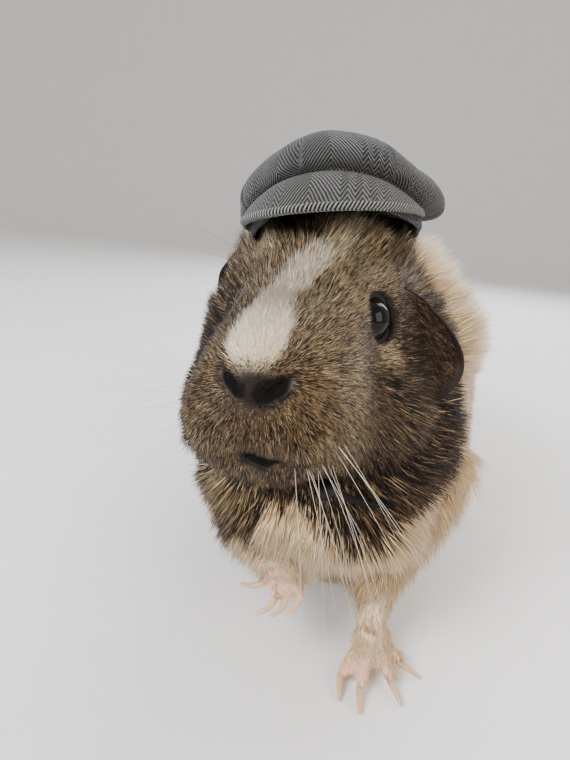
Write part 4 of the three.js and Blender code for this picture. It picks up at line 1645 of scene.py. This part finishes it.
@dataclass
class Eyes:
    """Both eyes: a ball with a slightly prouder cornea, in a fine rim of dark lid."""

    radius: float = EYE_RADIUS
    cornea: float = 0.5
    iris_half: float = 1.15  # radians from its middle to its edge
    lid_radius: float = 5.95
    lid_thick: float = 0.95
    lid_lift: float = 3.5
    corner_out: float = 0.06  # how much further the corners of the lids reach, as a share
    corner_in: float = 0.03
    corner_back: float = 0.5

    def build(self) -> None:
        """Makes and finishes the eyes and lids."""
        material = EyeFinish().make()
        lid_material = LidFinish().make()
        for side, word in ((LEFT, "left"), (RIGHT, "right")):
            mirror = np.array([side, 1, 1])
            look = HEAD.aim(EYE_LOOK * mirror)
            middle = HEAD.place(EYE_AT * mirror)[0]
            self.ball(middle, look, f"{word}_eye_ball", material, f"{word}_eye")
            self.lid(middle, look, f"{word}_eyelid", lid_material)

    def ball(self, middle: np.ndarray, look: np.ndarray, name: str, material: Material, node: str) -> None:
        """Makes one eyeball.

        Args:
            middle: Its middle.
            look: The direction that it looks in.
            name: Its name.
            material: Its material.
            node: The CAD node that it stands for.
        """
        sphere = bpy.ops.mesh.primitive_uv_sphere_add
        ball = added(name, sphere, segments=64, ring_count=40, radius=self.radius * MM)
        points = mesh_points(ball)
        turn = np.array(Vector((0, 0, 1)).rotation_difference(Vector(look)).to_matrix())
        points = points @ turn.T
        facing = unit(points) @ look
        points = points * (1 + self.cornea / self.radius * smooth(0.72, 1.0, facing))[:, None]
        set_points(ball, points + middle)
        add_floats(ball, "iris", np.arccos(np.clip(facing, -1, 1)) / self.iris_half)
        smooth_all(ball)
        finish_piece(ball, material, [node])

    def lid(self, middle: np.ndarray, look: np.ndarray, name: str, material: Material) -> None:
        """Makes one lid rim: a torus drawn to a point at its front and back corners.

        Args:
            middle: The eye's middle.
            look: The direction that the eye looks in.
            name: The rim's name.
            material: Its material.
        """
        rim = added(
            name,
            bpy.ops.mesh.primitive_torus_add,
            major_segments=72,
            minor_segments=14,
            major_radius=self.lid_radius * MM,
            minor_radius=self.lid_thick * MM,
        )
        x, y, z = mesh_points(rim).T
        around = np.arctan2(y, x)
        corner = np.abs(np.cos(around)) ** 6
        shaped = np.column_stack([
            x * (1 + self.corner_out * corner),
            y * (1 - self.corner_in * corner),
            z - self.corner_back * corner,
        ])
        front = unit(np.cross(np.cross(look, [0, 0, 1]), look))
        ahead = unit(np.cross(front, look))
        points = shaped[:, :1] * ahead + shaped[:, 1:2] * front + (shaped[:, 2:] + self.lid_lift) * look
        set_points(rim, points + middle)
        smooth_all(rim)
        finish_piece(rim, material)


@dataclass(frozen=True)
class EarShape:
    """One ear in the head's frame, as a petal that hangs from the line between its top and bottom root."""

    side: int
    top: Place
    bottom: Place
    reach: float
    droop: float
    node: str


@dataclass
class Ears:
    """Both ears: thin cupped petals with a rolled rim and soft ripples."""

    free: float = 0.03  # the share of the root line at both ends that carries no petal
    cup: float = 3.4
    rolled: float = 1.3
    thick: float = 0.9
    lean: tuple[float, float] = (0.93, 0.35)  # how far sideways and back the petal goes in one millimetre
    hairs: int = 8000
    hair_width: float = 0.36
    shapes: tuple[EarShape, ...] = (
        EarShape(LEFT, (18, 6, 13), (25, 10, -14), 20, 5, "left_ear"),
        EarShape(RIGHT, (21, 14, 22), (25, 18, 0), 17, 1, "right_ear"),
    )

    def build(self, coat: Material) -> None:
        """Makes and finishes the ears.

        Args:
            coat: The material of their hair.
        """
        material = EarFinish().make()
        for shape in self.shapes:
            self.petal(shape, material, coat)

    def petal(self, shape: EarShape, material: Material, coat: Material) -> None:
        """Makes one ear from a grid, cupped, drooped and thickened.

        Args:
            shape: Its shape.
            material: Its leather.
            coat: The material of its hair.
        """
        grid = bpy.ops.mesh.primitive_grid_add
        ear = added(f"{shape.node}_leather", grid, x_subdivisions=48, y_subdivisions=40, size=1)
        flat = mesh_points(ear) * MM + 0.5
        down = self.free + (1 - 2 * self.free) * flat[:, 0]
        outward = flat[:, 1]
        root = np.outer(1 - down, shape.top) + np.outer(down, shape.bottom)
        full = np.sqrt(np.sin(np.pi * down**1.2))
        far = shape.reach * full * outward
        hollow = self.cup * (1 - outward**2) * full + 1.4 * outward**3
        rolled = self.rolled * smooth(0.84, 1.0, outward) * full
        ripples = 0.5 * np.sin(9 * down + 3 * outward) * outward + 0.3 * np.sin(23 * down) * outward**2
        sag = shape.droop * outward**2 * (0.3 + down)
        local = np.column_stack([
            (root[:, 0] + far * self.lean[0] - rolled * 0.4) * shape.side,
            root[:, 1] + far * self.lean[1] + hollow + ripples - rolled,
            root[:, 2] - sag,
        ])
        set_points(ear, HEAD.place(local))
        add_floats(ear, "outward", outward)
        apply_modifier(ear, "SOLIDIFY", thickness=self.thick * MM, offset=0.0)
        apply_modifier(ear, "SUBSURF", levels=1, render_levels=1)
        apply_modifier(ear, "TRIANGULATE")
        recalculate(ear)
        smooth_all(ear)
        finish_piece(ear, material, [shape.node])
        self.fringe(ear, shape, coat)

    def fringe(self, ear: Object, shape: EarShape, coat: Material) -> None:
        """Grows the dark hair that covers the inner part of one ear's front and its root.

        Args:
            ear: The ear.
            shape: Its shape.
            coat: The hair's material.
        """
        hide = Hide(mesh_points(ear), mesh_triangles(ear))
        outward = np.empty(len(hide.points), np.float32)
        ear.data.attributes["outward"].data.foreach_get("value", outward)
        count = len(hide.points)
        front = smooth(-0.3, 0.2, hide.normals @ HEAD.aim((0, -1, 0)))
        lie = HEAD.aim((0.75 * shape.side, 0.1, -0.65))
        hide.fields = {
            "bald": 1 - smooth(0.9, 0.5, outward) * (0.25 + 0.75 * front),
            "lie": np.tile(lie, (count, 1)),
            "length": 3.0 + 5.0 * smooth(0.7, 0.1, outward),
            "ruff": np.zeros(count),
            "white": np.zeros(count),
            "tone": np.full(count, 0.04),
            "guard": np.full(count, 0.6),
            "dark": np.zeros(count),
        }
        behind = tuple(hide.points.mean(axis=0) + HEAD.aim((0, 12, 0)))
        unrolled = Unrolled(behind, tuple(HEAD.aim((0, -1, 0))))
        name, seed = f"{shape.node}_coat", 500 + shape.side
        hair = Coat(name, 1, self.hairs, 1, self.hair_width, unrolled, seed, everywhere, rise=24, clump=0.3)
        hair.grow(hide, coat, "agouti_coat")


@dataclass
class Claws:
    """The claws of each foot, rounded from their solids."""

    feet: tuple[tuple[str, int], ...] = (
        ("left_forefoot", 4),
        ("right_forepaw", 4),
        ("left_hindfoot", 3),
        ("right_hindfoot", 3),
    )
    fuller: float = 0.22  # what the rounding takes off, put back

    def build(self) -> None:
        """Makes and finishes the claws, one piece a foot."""
        material = HornFinish().make()
        for foot, count in self.feet:
            nodes = [f"{foot}_claw_{i + 1}" for i in range(count)]
            claws = join([merged_copy(node, f"{node}_horn") for node in nodes], f"{foot}_claws")
            apply_modifier(claws, "SUBSURF", levels=2, render_levels=2)
            apply_modifier(claws, "DISPLACE", strength=self.fuller * MM, mid_level=0.0)
            smooth_all(claws)
            finish_piece(claws, material, nodes)


@dataclass
class Whiskers:
    """Long tapered whiskers on both pads, and a few dark ones over the eyes.

    A side's growth is its first whisker's place in the fan, the longest one's length as a share of the solid
    ones', and how far in on the pad its roots spread, as a share of `pad`.
    """

    radius: float = 0.062
    taper: float = 0.75
    count: int = 14
    steps: int = 12
    last: float = 1.1  # the last whisker's place in the fan
    growth: tuple[tuple[float, float, float], ...] = ((0.3, 1.8, 1.0), (0.0, 1.12, 0.15))  # left and right
    pad: Place = (-5.5, -3.2, -1.0)
    droop: tuple[float, float] = (3.0, 15.0)
    stray: float = 0.14
    brow_places: tuple[float, ...] = (0.0, 0.6, 1.0)

    def build(self) -> None:
        """Makes pale and dark whiskers on both sides."""
        rng = np.random.default_rng(71)
        pale_finish = WhiskerFinish("pale_whisker", "#d8cebd", "#a89d8b").make()
        dark_finish = WhiskerFinish("dark_whisker", "#17120f", "#2a221c").make()
        shares = np.linspace(-0.05, 1, self.steps + 1)
        for fan, word, (first, longest, inward) in zip(WHISKER_FANS, ("left", "right"), self.growth):
            lines = []
            for place in np.linspace(first, self.last, self.count):
                inner = inward * rng.uniform(0, 1) * np.array(self.pad)
                roots = tuple(tuple(np.array(root) + inner) for root in fan.roots)
                bowed = replace(fan, droop=rng.uniform(*self.droop), roots=roots)
                spread = rng.uniform(-self.stray, self.stray, 3)
                long = fan.long * longest * rng.uniform(0.5, 1.0)
                lines.append(bowed.line(place, shares, long, spread))
            self.tubes(lines, f"{word}_whiskers_pale", pale_finish)
            brow = WhiskerFan(fan.side, ((1, 0.1, 0.9), (0.9, -0.3, 0.5)), 24, ((10, -8, 12), (12, -9, 8)), 3)
            lines = [brow.line(place, shares, brow.long * rng.uniform(0.7, 1)) for place in self.brow_places]
            self.tubes(lines, f"{word}_whiskers_dark", dark_finish)

    def tubes(self, lines: list[np.ndarray], name: str, finish: Material) -> None:
        """Makes tapered tubes along lines and finishes them as one piece.

        Args:
            lines: The points of each.
            name: The piece's name.
            finish: Its material.
        """
        curve = bpy.data.curves.new(name, "CURVE")
        curve.dimensions = "3D"
        curve.bevel_depth = self.radius * MM
        curve.bevel_resolution = 1
        curve.use_fill_caps = True
        for line in lines:
            spline = curve.splines.new("POLY")
            spline.points.add(len(line) - 1)
            for i, (point, spot) in enumerate(zip(spline.points, line)):
                point.co = (*(spot * MM), 1)
                point.radius = 1 - self.taper * i / (len(line) - 1)
        shape = bpy.data.objects.new(name, curve)
        bpy.context.scene.collection.objects.link(shape)
        select_only(shape)
        bpy.ops.object.convert(target="MESH")
        finish_piece(bpy.context.object, finish)


# ---------------------------------------------------------------------- the cap


CURVE_STEPS = 200  # in a curve whose length is measured


def arc_lengths(line: np.ndarray) -> np.ndarray:
    """Returns how far along a line each of its points lies."""
    return np.concatenate([[0], np.cumsum(np.linalg.norm(np.diff(line, axis=0), axis=1))])


@dataclass
class CapPiece:
    """A piece of the cap, built in the cap's own frame."""

    tweed: Material

    @staticmethod
    def weave(piece: Object, across: np.ndarray, along: np.ndarray) -> None:
        """Stores the cloth's own millimetres at each vertex as the map Weave.

        Args:
            piece: The piece.
            across: Millimetres across the weave's columns.
            along: Millimetres along them.
        """
        layer = piece.data.uv_layers.new(name="Weave")
        index = np.empty(len(piece.data.loops), np.int32)
        piece.data.loops.foreach_get("vertex_index", index)
        layer.data.foreach_set("uv", np.column_stack([across, along])[index].astype(np.float32).ravel())

    def finish(self, piece: Object, *nodes: str) -> None:
        """Shades a piece smooth and finishes it in tweed."""
        smooth_all(piece)
        finish_piece(piece, self.tweed, nodes)


@dataclass
class Crown(CapPiece):
    """The puffed crown of sewn panels, with its covered button.

    `wide` and `long` are half the crown's width and length, `up` and `down` its height over and under its
    rim, which is `middle` high in front and `sag` lower at both sides.
    """

    wide: float = 30.9
    long: float = 29.0
    aside: float = 0.6
    back: float = 5.6
    middle: float = 18.6
    up: float = 10.5
    down: float = 5.5
    sag: float = 10.7
    panels: int = 8
    turned: float = math.radians(13)  # the first panel's middle
    seam: float = 0.7  # how deep the seams are pulled in
    flat: float = 0.045  # the share by which a panel's middle is flatter than a ball
    tucked: float = 0.11  # the share by which its lower half is drawn in at both sides
    crease: float = 0.6  # how deep the soft creases are
    creases: float = 13.0  # how far apart they are
    panel_cut: float = 11.4  # where in the weave the panels are cut, and how much further each next one
    panel_step: float = 9.0
    button_radius: float = 4.0
    button_up: float = 2.0
    button_down: float = 1.4

    def wall(self, around: np.ndarray, rise: np.ndarray) -> np.ndarray:
        """Finds points of the crown's surface.

        Args:
            around: Angles round it, in radians from its left.
            rise: Angles up it, in radians from its rim.

        Returns:
            The points, in the cap's frame.
        """
        sides = np.cos(around) ** 2
        out = np.maximum(np.cos(rise), 0) ** (0.7 - 0.22 * smooth(-0.2, -0.9, np.cos(around)))
        height = np.where(rise > 0, self.up, self.down) * np.sin(rise)
        from_seam = np.abs(np.cos(self.panels / 2 * (around - self.turned)))
        flatter = 1 - self.flat * from_seam**1.5
        pinch = self.seam * (1 - from_seam**0.45) / self.wide
        r = out * (1 - pinch) * flatter * (1 - self.tucked * smooth(0.6, -0.6, rise) * sides)
        return np.column_stack([
            self.aside + self.wide * r * np.cos(around),
            self.back + self.long * r * np.sin(around),
            self.middle + height * (1 + (flatter - 1) * np.cos(rise)) - self.sag * sides * out,
        ])

    def build(self) -> None:
        """Makes the crown from a ball whose points are moved onto the puffed panels."""
        sphere = bpy.ops.mesh.primitive_uv_sphere_add
        crown = added("cap_crown_cloth", sphere, segments=192, ring_count=72, radius=1)
        x, y, z = mesh_points(crown).T * MM
        around = np.arctan2(y, x)
        rise = np.arcsin(np.clip(z, -1, 1))
        points = self.wall(around, rise)
        soft = ripple(points, self.creases, 21) * self.crease * np.cos(rise)
        points += unit(points - [0, self.back, self.middle]) * soft[:, None]
        set_points(crown, CAP.place(points))
        one = 2 * math.pi / self.panels
        panel = np.floor((around - self.turned + one / 2) / one)
        out = np.hypot(points[:, 0], points[:, 1] - self.back)
        across = (around - (panel * one + self.turned)) * out
        steps = np.linspace(-math.pi / 2, math.pi / 2, CURVE_STEPS)
        profile = self.wall(np.full(CURVE_STEPS, -math.pi / 2), steps)
        along = np.interp(rise, steps, arc_lengths(profile))
        self.weave(crown, across + self.panel_cut + self.panel_step * (panel + 2), along)
        self.finish(crown, "cap_crown")

    def button(self) -> None:
        """Makes the cloth-covered button from a flattened ball."""
        button = added(
            "cap_button_cloth", bpy.ops.mesh.primitive_uv_sphere_add, segments=48, ring_count=24, radius=1
        )
        x, y, z = mesh_points(button).T * MM
        height = self.middle + self.up + 0.2 + np.where(z > 0, self.button_up, self.button_down) * z
        across, along = self.button_radius * x, self.button_radius * y
        set_points(button, CAP.place(np.column_stack([across, self.back + along, height])))
        self.weave(button, across, along)
        self.finish(button, "cap_button")


@dataclass
class Peak(CapPiece):
    """The stiff peak, an arched crescent, with the strip of cloth that binds its edge."""

    strip: Material
    half: float = math.radians(74)  # from its middle to a corner, round the band
    reach: float = 9.4
    root: float = 15.0  # how high it leaves the band
    edge: float = 6.2  # how high its edge is
    arch: float = 1.3
    corner_drop: float = 10.0  # how much lower its corners leave the band
    inside: float = 0.4  # how far within the band's outline it starts
    flare: float = 1.5  # how much wider it gets to its edge
    thick: float = 2.0
    rounded: float = 0.6
    cut_at: float = 9.0  # where in the weave it is cut, and how deep
    cut_deep: float = 10.5
    trimmed: float = 0.985  # the share of its half width that is built, short of the sharp corners
    binding_thick: float = 0.9
    binding_high: float = 1.2

    def wall(self, across: np.ndarray, out: np.ndarray) -> np.ndarray:
        """Finds points of the peak's middle surface.

        Args:
            across: From -1 at its right corner to 1 at its left.
            out: From 0 at the band to 1 at the edge.

        Returns:
            The points, in the cap's frame.
        """
        full = np.maximum(1 - across**2, 0) ** 0.6
        around = across * self.half
        root = self.root - self.corner_drop * across**2
        return np.column_stack([
            (FIT.wide - self.inside + self.flare * out) * np.sin(around),
            -(FIT.long - self.inside) * np.cos(around) - self.reach * full * out,
            root + (self.edge - root) * out + self.arch * np.sin(np.pi * out) * full,
        ])

    def build(self) -> None:
        """Makes the peak from a grid bent to its surface and thickened, and the binding."""
        grid = bpy.ops.mesh.primitive_grid_add
        peak = added("cap_peak_cloth", grid, x_subdivisions=96, y_subdivisions=20, size=1)
        flat = mesh_points(peak) * MM
        across, out = flat[:, 0] * 2 * self.trimmed, flat[:, 1] + 0.5
        set_points(peak, CAP.place(self.wall(across, out)))
        steps = np.linspace(-1, 1, CURVE_STEPS)
        arc = arc_lengths(self.wall(steps, np.full(CURVE_STEPS, 0.7)))
        columns = np.interp(across, steps, arc - arc[CURVE_STEPS // 2])
        self.weave(peak, columns + self.cut_at, -self.cut_deep * out)
        apply_modifier(peak, "SOLIDIFY", thickness=self.thick * MM, offset=0.0)
        apply_modifier(peak, "BEVEL", width=self.rounded * MM, segments=3, limit_method="ANGLE")
        recalculate(peak)
        self.finish(peak, "cap_peak")
        self.binding()

    def binding(self) -> None:
        """Makes the binding from a cylinder cut across 119 times and bent along the peak's edge."""
        tube = bpy.ops.mesh.primitive_cylinder_add
        strip = added("cap_peak_binding", tube, vertices=24, radius=1, depth=2, end_fill_type="NGON")
        shell = bmesh.new()
        shell.from_mesh(strip.data)
        sides = [edge for edge in shell.edges if abs(edge.verts[0].co.z - edge.verts[1].co.z) > 1]
        bmesh.ops.subdivide_edges(shell, edges=sides, cuts=119, use_grid_fill=True)
        shell.to_mesh(strip.data)
        shell.free()
        x, y, z = mesh_points(strip).T * MM
        across = z * self.trimmed
        middle = self.wall(across, np.ones(len(z)))
        ahead = unit(self.wall(across + 1e-3, np.ones(len(z))) - middle)
        out = unit(middle - self.wall(across, np.full(len(z), 0.9)))
        up = unit(np.cross(out, ahead))
        thin = 1 - 0.45 * np.abs(across) ** 8
        section = out * (self.binding_thick * x)[:, None] + up * (self.binding_high * y)[:, None]
        set_points(strip, CAP.place(middle + section * thin[:, None]))
        steps = np.linspace(-self.trimmed, self.trimmed, CURVE_STEPS)
        length = np.interp(across, steps, arc_lengths(self.wall(steps, np.ones(CURVE_STEPS))))
        self.weave(strip, 1.1 * np.abs(np.arctan2(y, x)), length)
        recalculate(strip)
        smooth_all(strip)
        finish_piece(strip, self.strip)


@dataclass
class Band(CapPiece):
    """The band round the head, whose lower edge is turned up in front, under the peak."""

    inside: float = 0.3  # how far within the solid's outline
    thick: float = 1.4
    rounded: float = 0.4
    turned_up: float = 2.6
    turned_more: float = 1.4  # towards both sides
    round_length: float = 22.0  # millimetres of cloth in a radian round it

    def build(self) -> None:
        """Makes the band from an open cylinder, made oval, dipped at the sides and thickened."""
        tube = bpy.ops.mesh.primitive_cylinder_add
        band = added("cap_band_cloth", tube, vertices=128, radius=1, depth=1, end_fill_type="NOTHING")
        x, y, z = mesh_points(band).T * MM
        around = np.arctan2(y, x)
        sides = np.cos(around) ** 2
        raised = 0.2 + (self.turned_up + self.turned_more * sides) * smooth(0.5, 0.1, np.sin(around))
        height = np.where(z > 0, FIT.high - FIT.sag * sides, FIT.edge(around) + raised)
        across, along = (FIT.wide - self.inside) * x, (FIT.long - self.inside) * y
        set_points(band, CAP.place(np.column_stack([across, along, height])))
        self.weave(band, around * self.round_length, height)
        apply_modifier(band, "SOLIDIFY", thickness=self.thick * MM, offset=-1.0)
        apply_modifier(band, "BEVEL", width=self.rounded * MM, segments=2, limit_method="ANGLE")
        recalculate(band)
        self.finish(band, "cap_band")


@dataclass
class Cap:
    """The tweed cap: crown, band and button of one cloth, darker partly as painted shade, the peak of a
    plainer one, a bias-cut binding.
    """

    cloth: HerringboneTweed = HerringboneTweed("herringbone_tweed")
    peak_cloth: HerringboneTweed = HerringboneTweed(
        "plain_tweed", rib=1.3, narrow=1.7, contrast=1.4, middle="#1c1a17", light="#565347"
    )
    strip_cloth: HerringboneTweed = HerringboneTweed(
        "bias_cut_tweed", rib=0.95, slope=0.5, contrast=1.4, light="#85837a"
    )

    def build(self) -> None:
        """Makes and finishes the cap's pieces."""
        tweed = self.cloth.make()
        crown = Crown(tweed)
        crown.build()
        Peak(self.peak_cloth.make(), self.strip_cloth.make()).build()
        Band(tweed).build()
        crown.button()


@dataclass(frozen=True)
class Threaded:
    """One piece of the strap: how its solid is rounded, and where it hangs."""

    node: str
    name: str
    roughness: float
    fuller: float  # millimetres that its surface moves out
    hung: Place = (0.0, 0.0, 0.0)


@dataclass
class Strap:
    """The elastic chin strap and its bead, rounded from their solids."""

    threaded: tuple[Threaded, ...] = (
        Threaded("chin_strap", "chin_strap_elastic", 0.8, -0.35),
        Threaded("strap_bead", "strap_bead_moulded", 0.55, 0.2, (2.0, -0.9, -2.4)),
    )

    def build(self) -> None:
        """Makes and finishes the strap and bead."""
        for row in self.threaded:
            piece = merged_copy(row.node, row.name)
            apply_modifier(piece, "SUBSURF", levels=2, render_levels=2)
            apply_modifier(piece, "DISPLACE", strength=row.fuller * MM, mid_level=0.0)
            set_points(piece, mesh_points(piece) + np.array(row.hung))
            smooth_all(piece)
            black = ElasticFinish(f"{row.name}_black", row.roughness)
            finish_piece(piece, black.make(), [row.node])


# --------------------------------------------------------- camera, light, floor


@dataclass
class Studio:
    """A pale sweep of floor and wall, soft lights and the camera, whose angles are degrees.

    Floor and lights are in metres, as only the animal is small.
    """

    eye: Place = (10.0, -217.0, 112.0)
    azimuth: float = 10.0
    down: float = 16.0
    roll: float = 5.0
    lens: float = 26.0
    sensor: float = 36.0
    aim: Place = (0.0, 0.0, 0.07)  # what the lights point at
    floor: float = 6.0
    wall: float = 4.0
    bend: float = 1.2

    def build(self) -> None:
        """Makes the camera, lights and floor."""
        self.camera()
        self.sweep()
        self.light("window_left", (-0.42, -0.62, 0.62), 0.42, 15.0, "#eef3ff")
        self.light("room_right", (0.8, -0.5, 0.45), 0.7, 7.0, "#fff3e4")
        self.light("window_behind", (0.25, 0.75, 0.75), 0.9, 16.0, "#f3f6ff")
        world = bpy.data.worlds.new("soft_room")
        bpy.context.scene.world = world
        world.use_nodes = True
        background = world.node_tree.nodes["Background"]
        background.inputs["Color"].default_value = linear("#eef0f4")
        background.inputs["Strength"].default_value = 0.95

    def camera(self) -> None:
        """Makes the camera."""
        data = bpy.data.cameras.new("camera")
        data.lens = self.lens
        data.sensor_width = self.sensor
        data.clip_start, data.clip_end = 0.01, 20
        camera = bpy.data.objects.new("camera", data)
        bpy.context.scene.collection.objects.link(camera)
        down, roll = math.radians(self.down), math.radians(self.roll)
        level = np.array([1.0, 0, 0])
        upright = np.array([0, math.sin(down), math.cos(down)])
        ahead = np.array([0, math.cos(down), -math.sin(down)])
        right = math.cos(roll) * level + math.sin(roll) * upright
        top = -math.sin(roll) * level + math.cos(roll) * upright
        turn = turn_about("z", self.azimuth) @ np.column_stack([right, top, -ahead])
        place = Matrix(turn.tolist()).to_4x4()
        place.translation = Vector((np.array(self.eye) + SHIFT) * MM)
        camera.matrix_world = place
        bpy.context.scene.camera = camera

    def light(self, name: str, at: Place, size: float, power: float, code: str) -> None:
        """Makes a square soft light that points at the animal's middle.

        Args:
            name: Its name.
            at: Its place, in metres.
            size: Its width, in metres.
            power: Its power, in watts.
            code: Its sRGB hex colour.
        """
        data = bpy.data.lights.new(name, "AREA")
        data.shape = "SQUARE"
        data.size = size
        data.energy = power
        data.color = linear(code)[:3]
        lamp = bpy.data.objects.new(name, data)
        bpy.context.scene.collection.objects.link(lamp)
        lamp.location = at
        lamp.rotation_euler = (Vector(self.aim) - Vector(at)).to_track_quat("-Z", "Y").to_euler()

    def sweep(self) -> None:
        """Makes the floor from a plane whose back edge is extruded up as a wall, with a round bend."""
        floor = added("floor_sweep", bpy.ops.mesh.primitive_plane_add, size=self.floor, location=(0, 0, 0))
        bpy.ops.object.mode_set(mode="EDIT")
        shell = bmesh.from_edit_mesh(floor.data)
        for part in (*shell.verts, *shell.edges, *shell.faces):
            part.select = False
        for edge in shell.edges:
            if all(corner.co.y > 0.45 * self.floor for corner in edge.verts):
                edge.select = True
        bmesh.update_edit_mesh(floor.data)
        bpy.ops.mesh.extrude_region_move(TRANSFORM_OT_translate={"value": (0, 0, self.wall)})
        bpy.ops.object.mode_set(mode="OBJECT")
        apply_modifier(floor, "BEVEL", width=self.bend, segments=24, limit_method="ANGLE")
        smooth_all(floor)
        floor.data.materials.append(PaintedBoard().make())


# ----------------------------------------------------------------- all together


def everywhere(hide: Hide) -> np.ndarray:
    """Returns the same thickness of hair all over."""
    return np.ones(len(hide.points))


def face_weight(hide: Hide) -> np.ndarray:
    """Returns how thickly fine short hair stands on the face."""
    f = hide.fields
    return f["head"] * (1 / np.clip(f["length"], 1.2, 9)) ** 1.1 * smooth(9.5, 5.5, f["length"])


def head_weight(hide: Hide) -> np.ndarray:
    """Returns how thickly the longer hair stands on the cheeks, jowls and crown."""
    f = hide.fields
    return f["head"] * smooth(3.4, 5.5, f["length"]) / np.clip(f["length"], 3, 9) ** 0.5


def front_weight(hide: Hide) -> np.ndarray:
    """Returns how thickly neck and chest are haired."""
    f = hide.fields
    return (f["neck"] + f["chest"]) * (1 + 0.8 * f["ruff"])


def torso_weight(hide: Hide) -> np.ndarray:
    """Returns how thickly barrel and rump are haired."""
    return hide.fields["torso"]


def leg_weight(hide: Hide) -> np.ndarray:
    """Returns how thickly legs and feet are haired."""
    f = hide.fields
    return (f["foreleg"] + f["hindleg"]) * (1 / np.clip(f["length"], 1.5, 12)) + 1.3 * f["foot"]


def off_soles(roots: Roots) -> np.ndarray:
    """Returns which roots are clear of the soles."""
    return (roots.normals[:, 2] > -0.3) & (roots.points[:, 2] > 1.5)


AHEAD, BACK = (0, -1, 0), (0, 1, 0)
HEAD_UNROLLED = Unrolled(tuple(HEAD.place(np.array([0.0, 8.0, -14.0]))[0]), tuple(HEAD.aim(AHEAD)))
FRONT_UNROLLED = Unrolled((0, -40, 52), AHEAD)
BODY_UNROLLED = Unrolled((0, 35, 55), BACK, 95)
LEG_UNROLLED = Unrolled((0, 0, 30), (0, 0, 1))
AGOUTI_COATS = (
    Coat("face_coat", 2, 48000, 1, 0.36, HEAD_UNROLLED, 100, face_weight, rise=28, lay=14, clump=0.3),
    Coat("head_coat", 2, 48000, 1, 0.36, HEAD_UNROLLED, 120, head_weight, rise=26, lay=14, per_clump=7),
)
CREAM_COATS = (
    Coat("front_coat", 2, 47000, 1, 0.46, FRONT_UNROLLED, 200, front_weight, rise=24, lay=14, droop=0.12),
    Coat("body_coat", 1, 49000, 1, 0.8, BODY_UNROLLED, 300, torso_weight, rise=22, lay=14, droop=0.1),
    Coat("leg_coat", 1, 42000, 1, 0.4, LEG_UNROLLED, 400, leg_weight, rise=28, lay=10, keep=off_soles),
)


def main() -> None:
    """Builds the whole animal in order."""
    Studio().build()
    hide = Skin().build()
    finish = CoatFinish().make()
    for coat in AGOUTI_COATS:
        coat.grow(hide, finish, "agouti_coat")
    for coat in CREAM_COATS:
        coat.grow(hide, finish, "cream_coat")
    Eyes().build()
    Ears().build(finish)
    Claws().build()
    Whiskers().build()
    Cap().build()
    Strap().build()


if __name__ == "__main__":
    main()
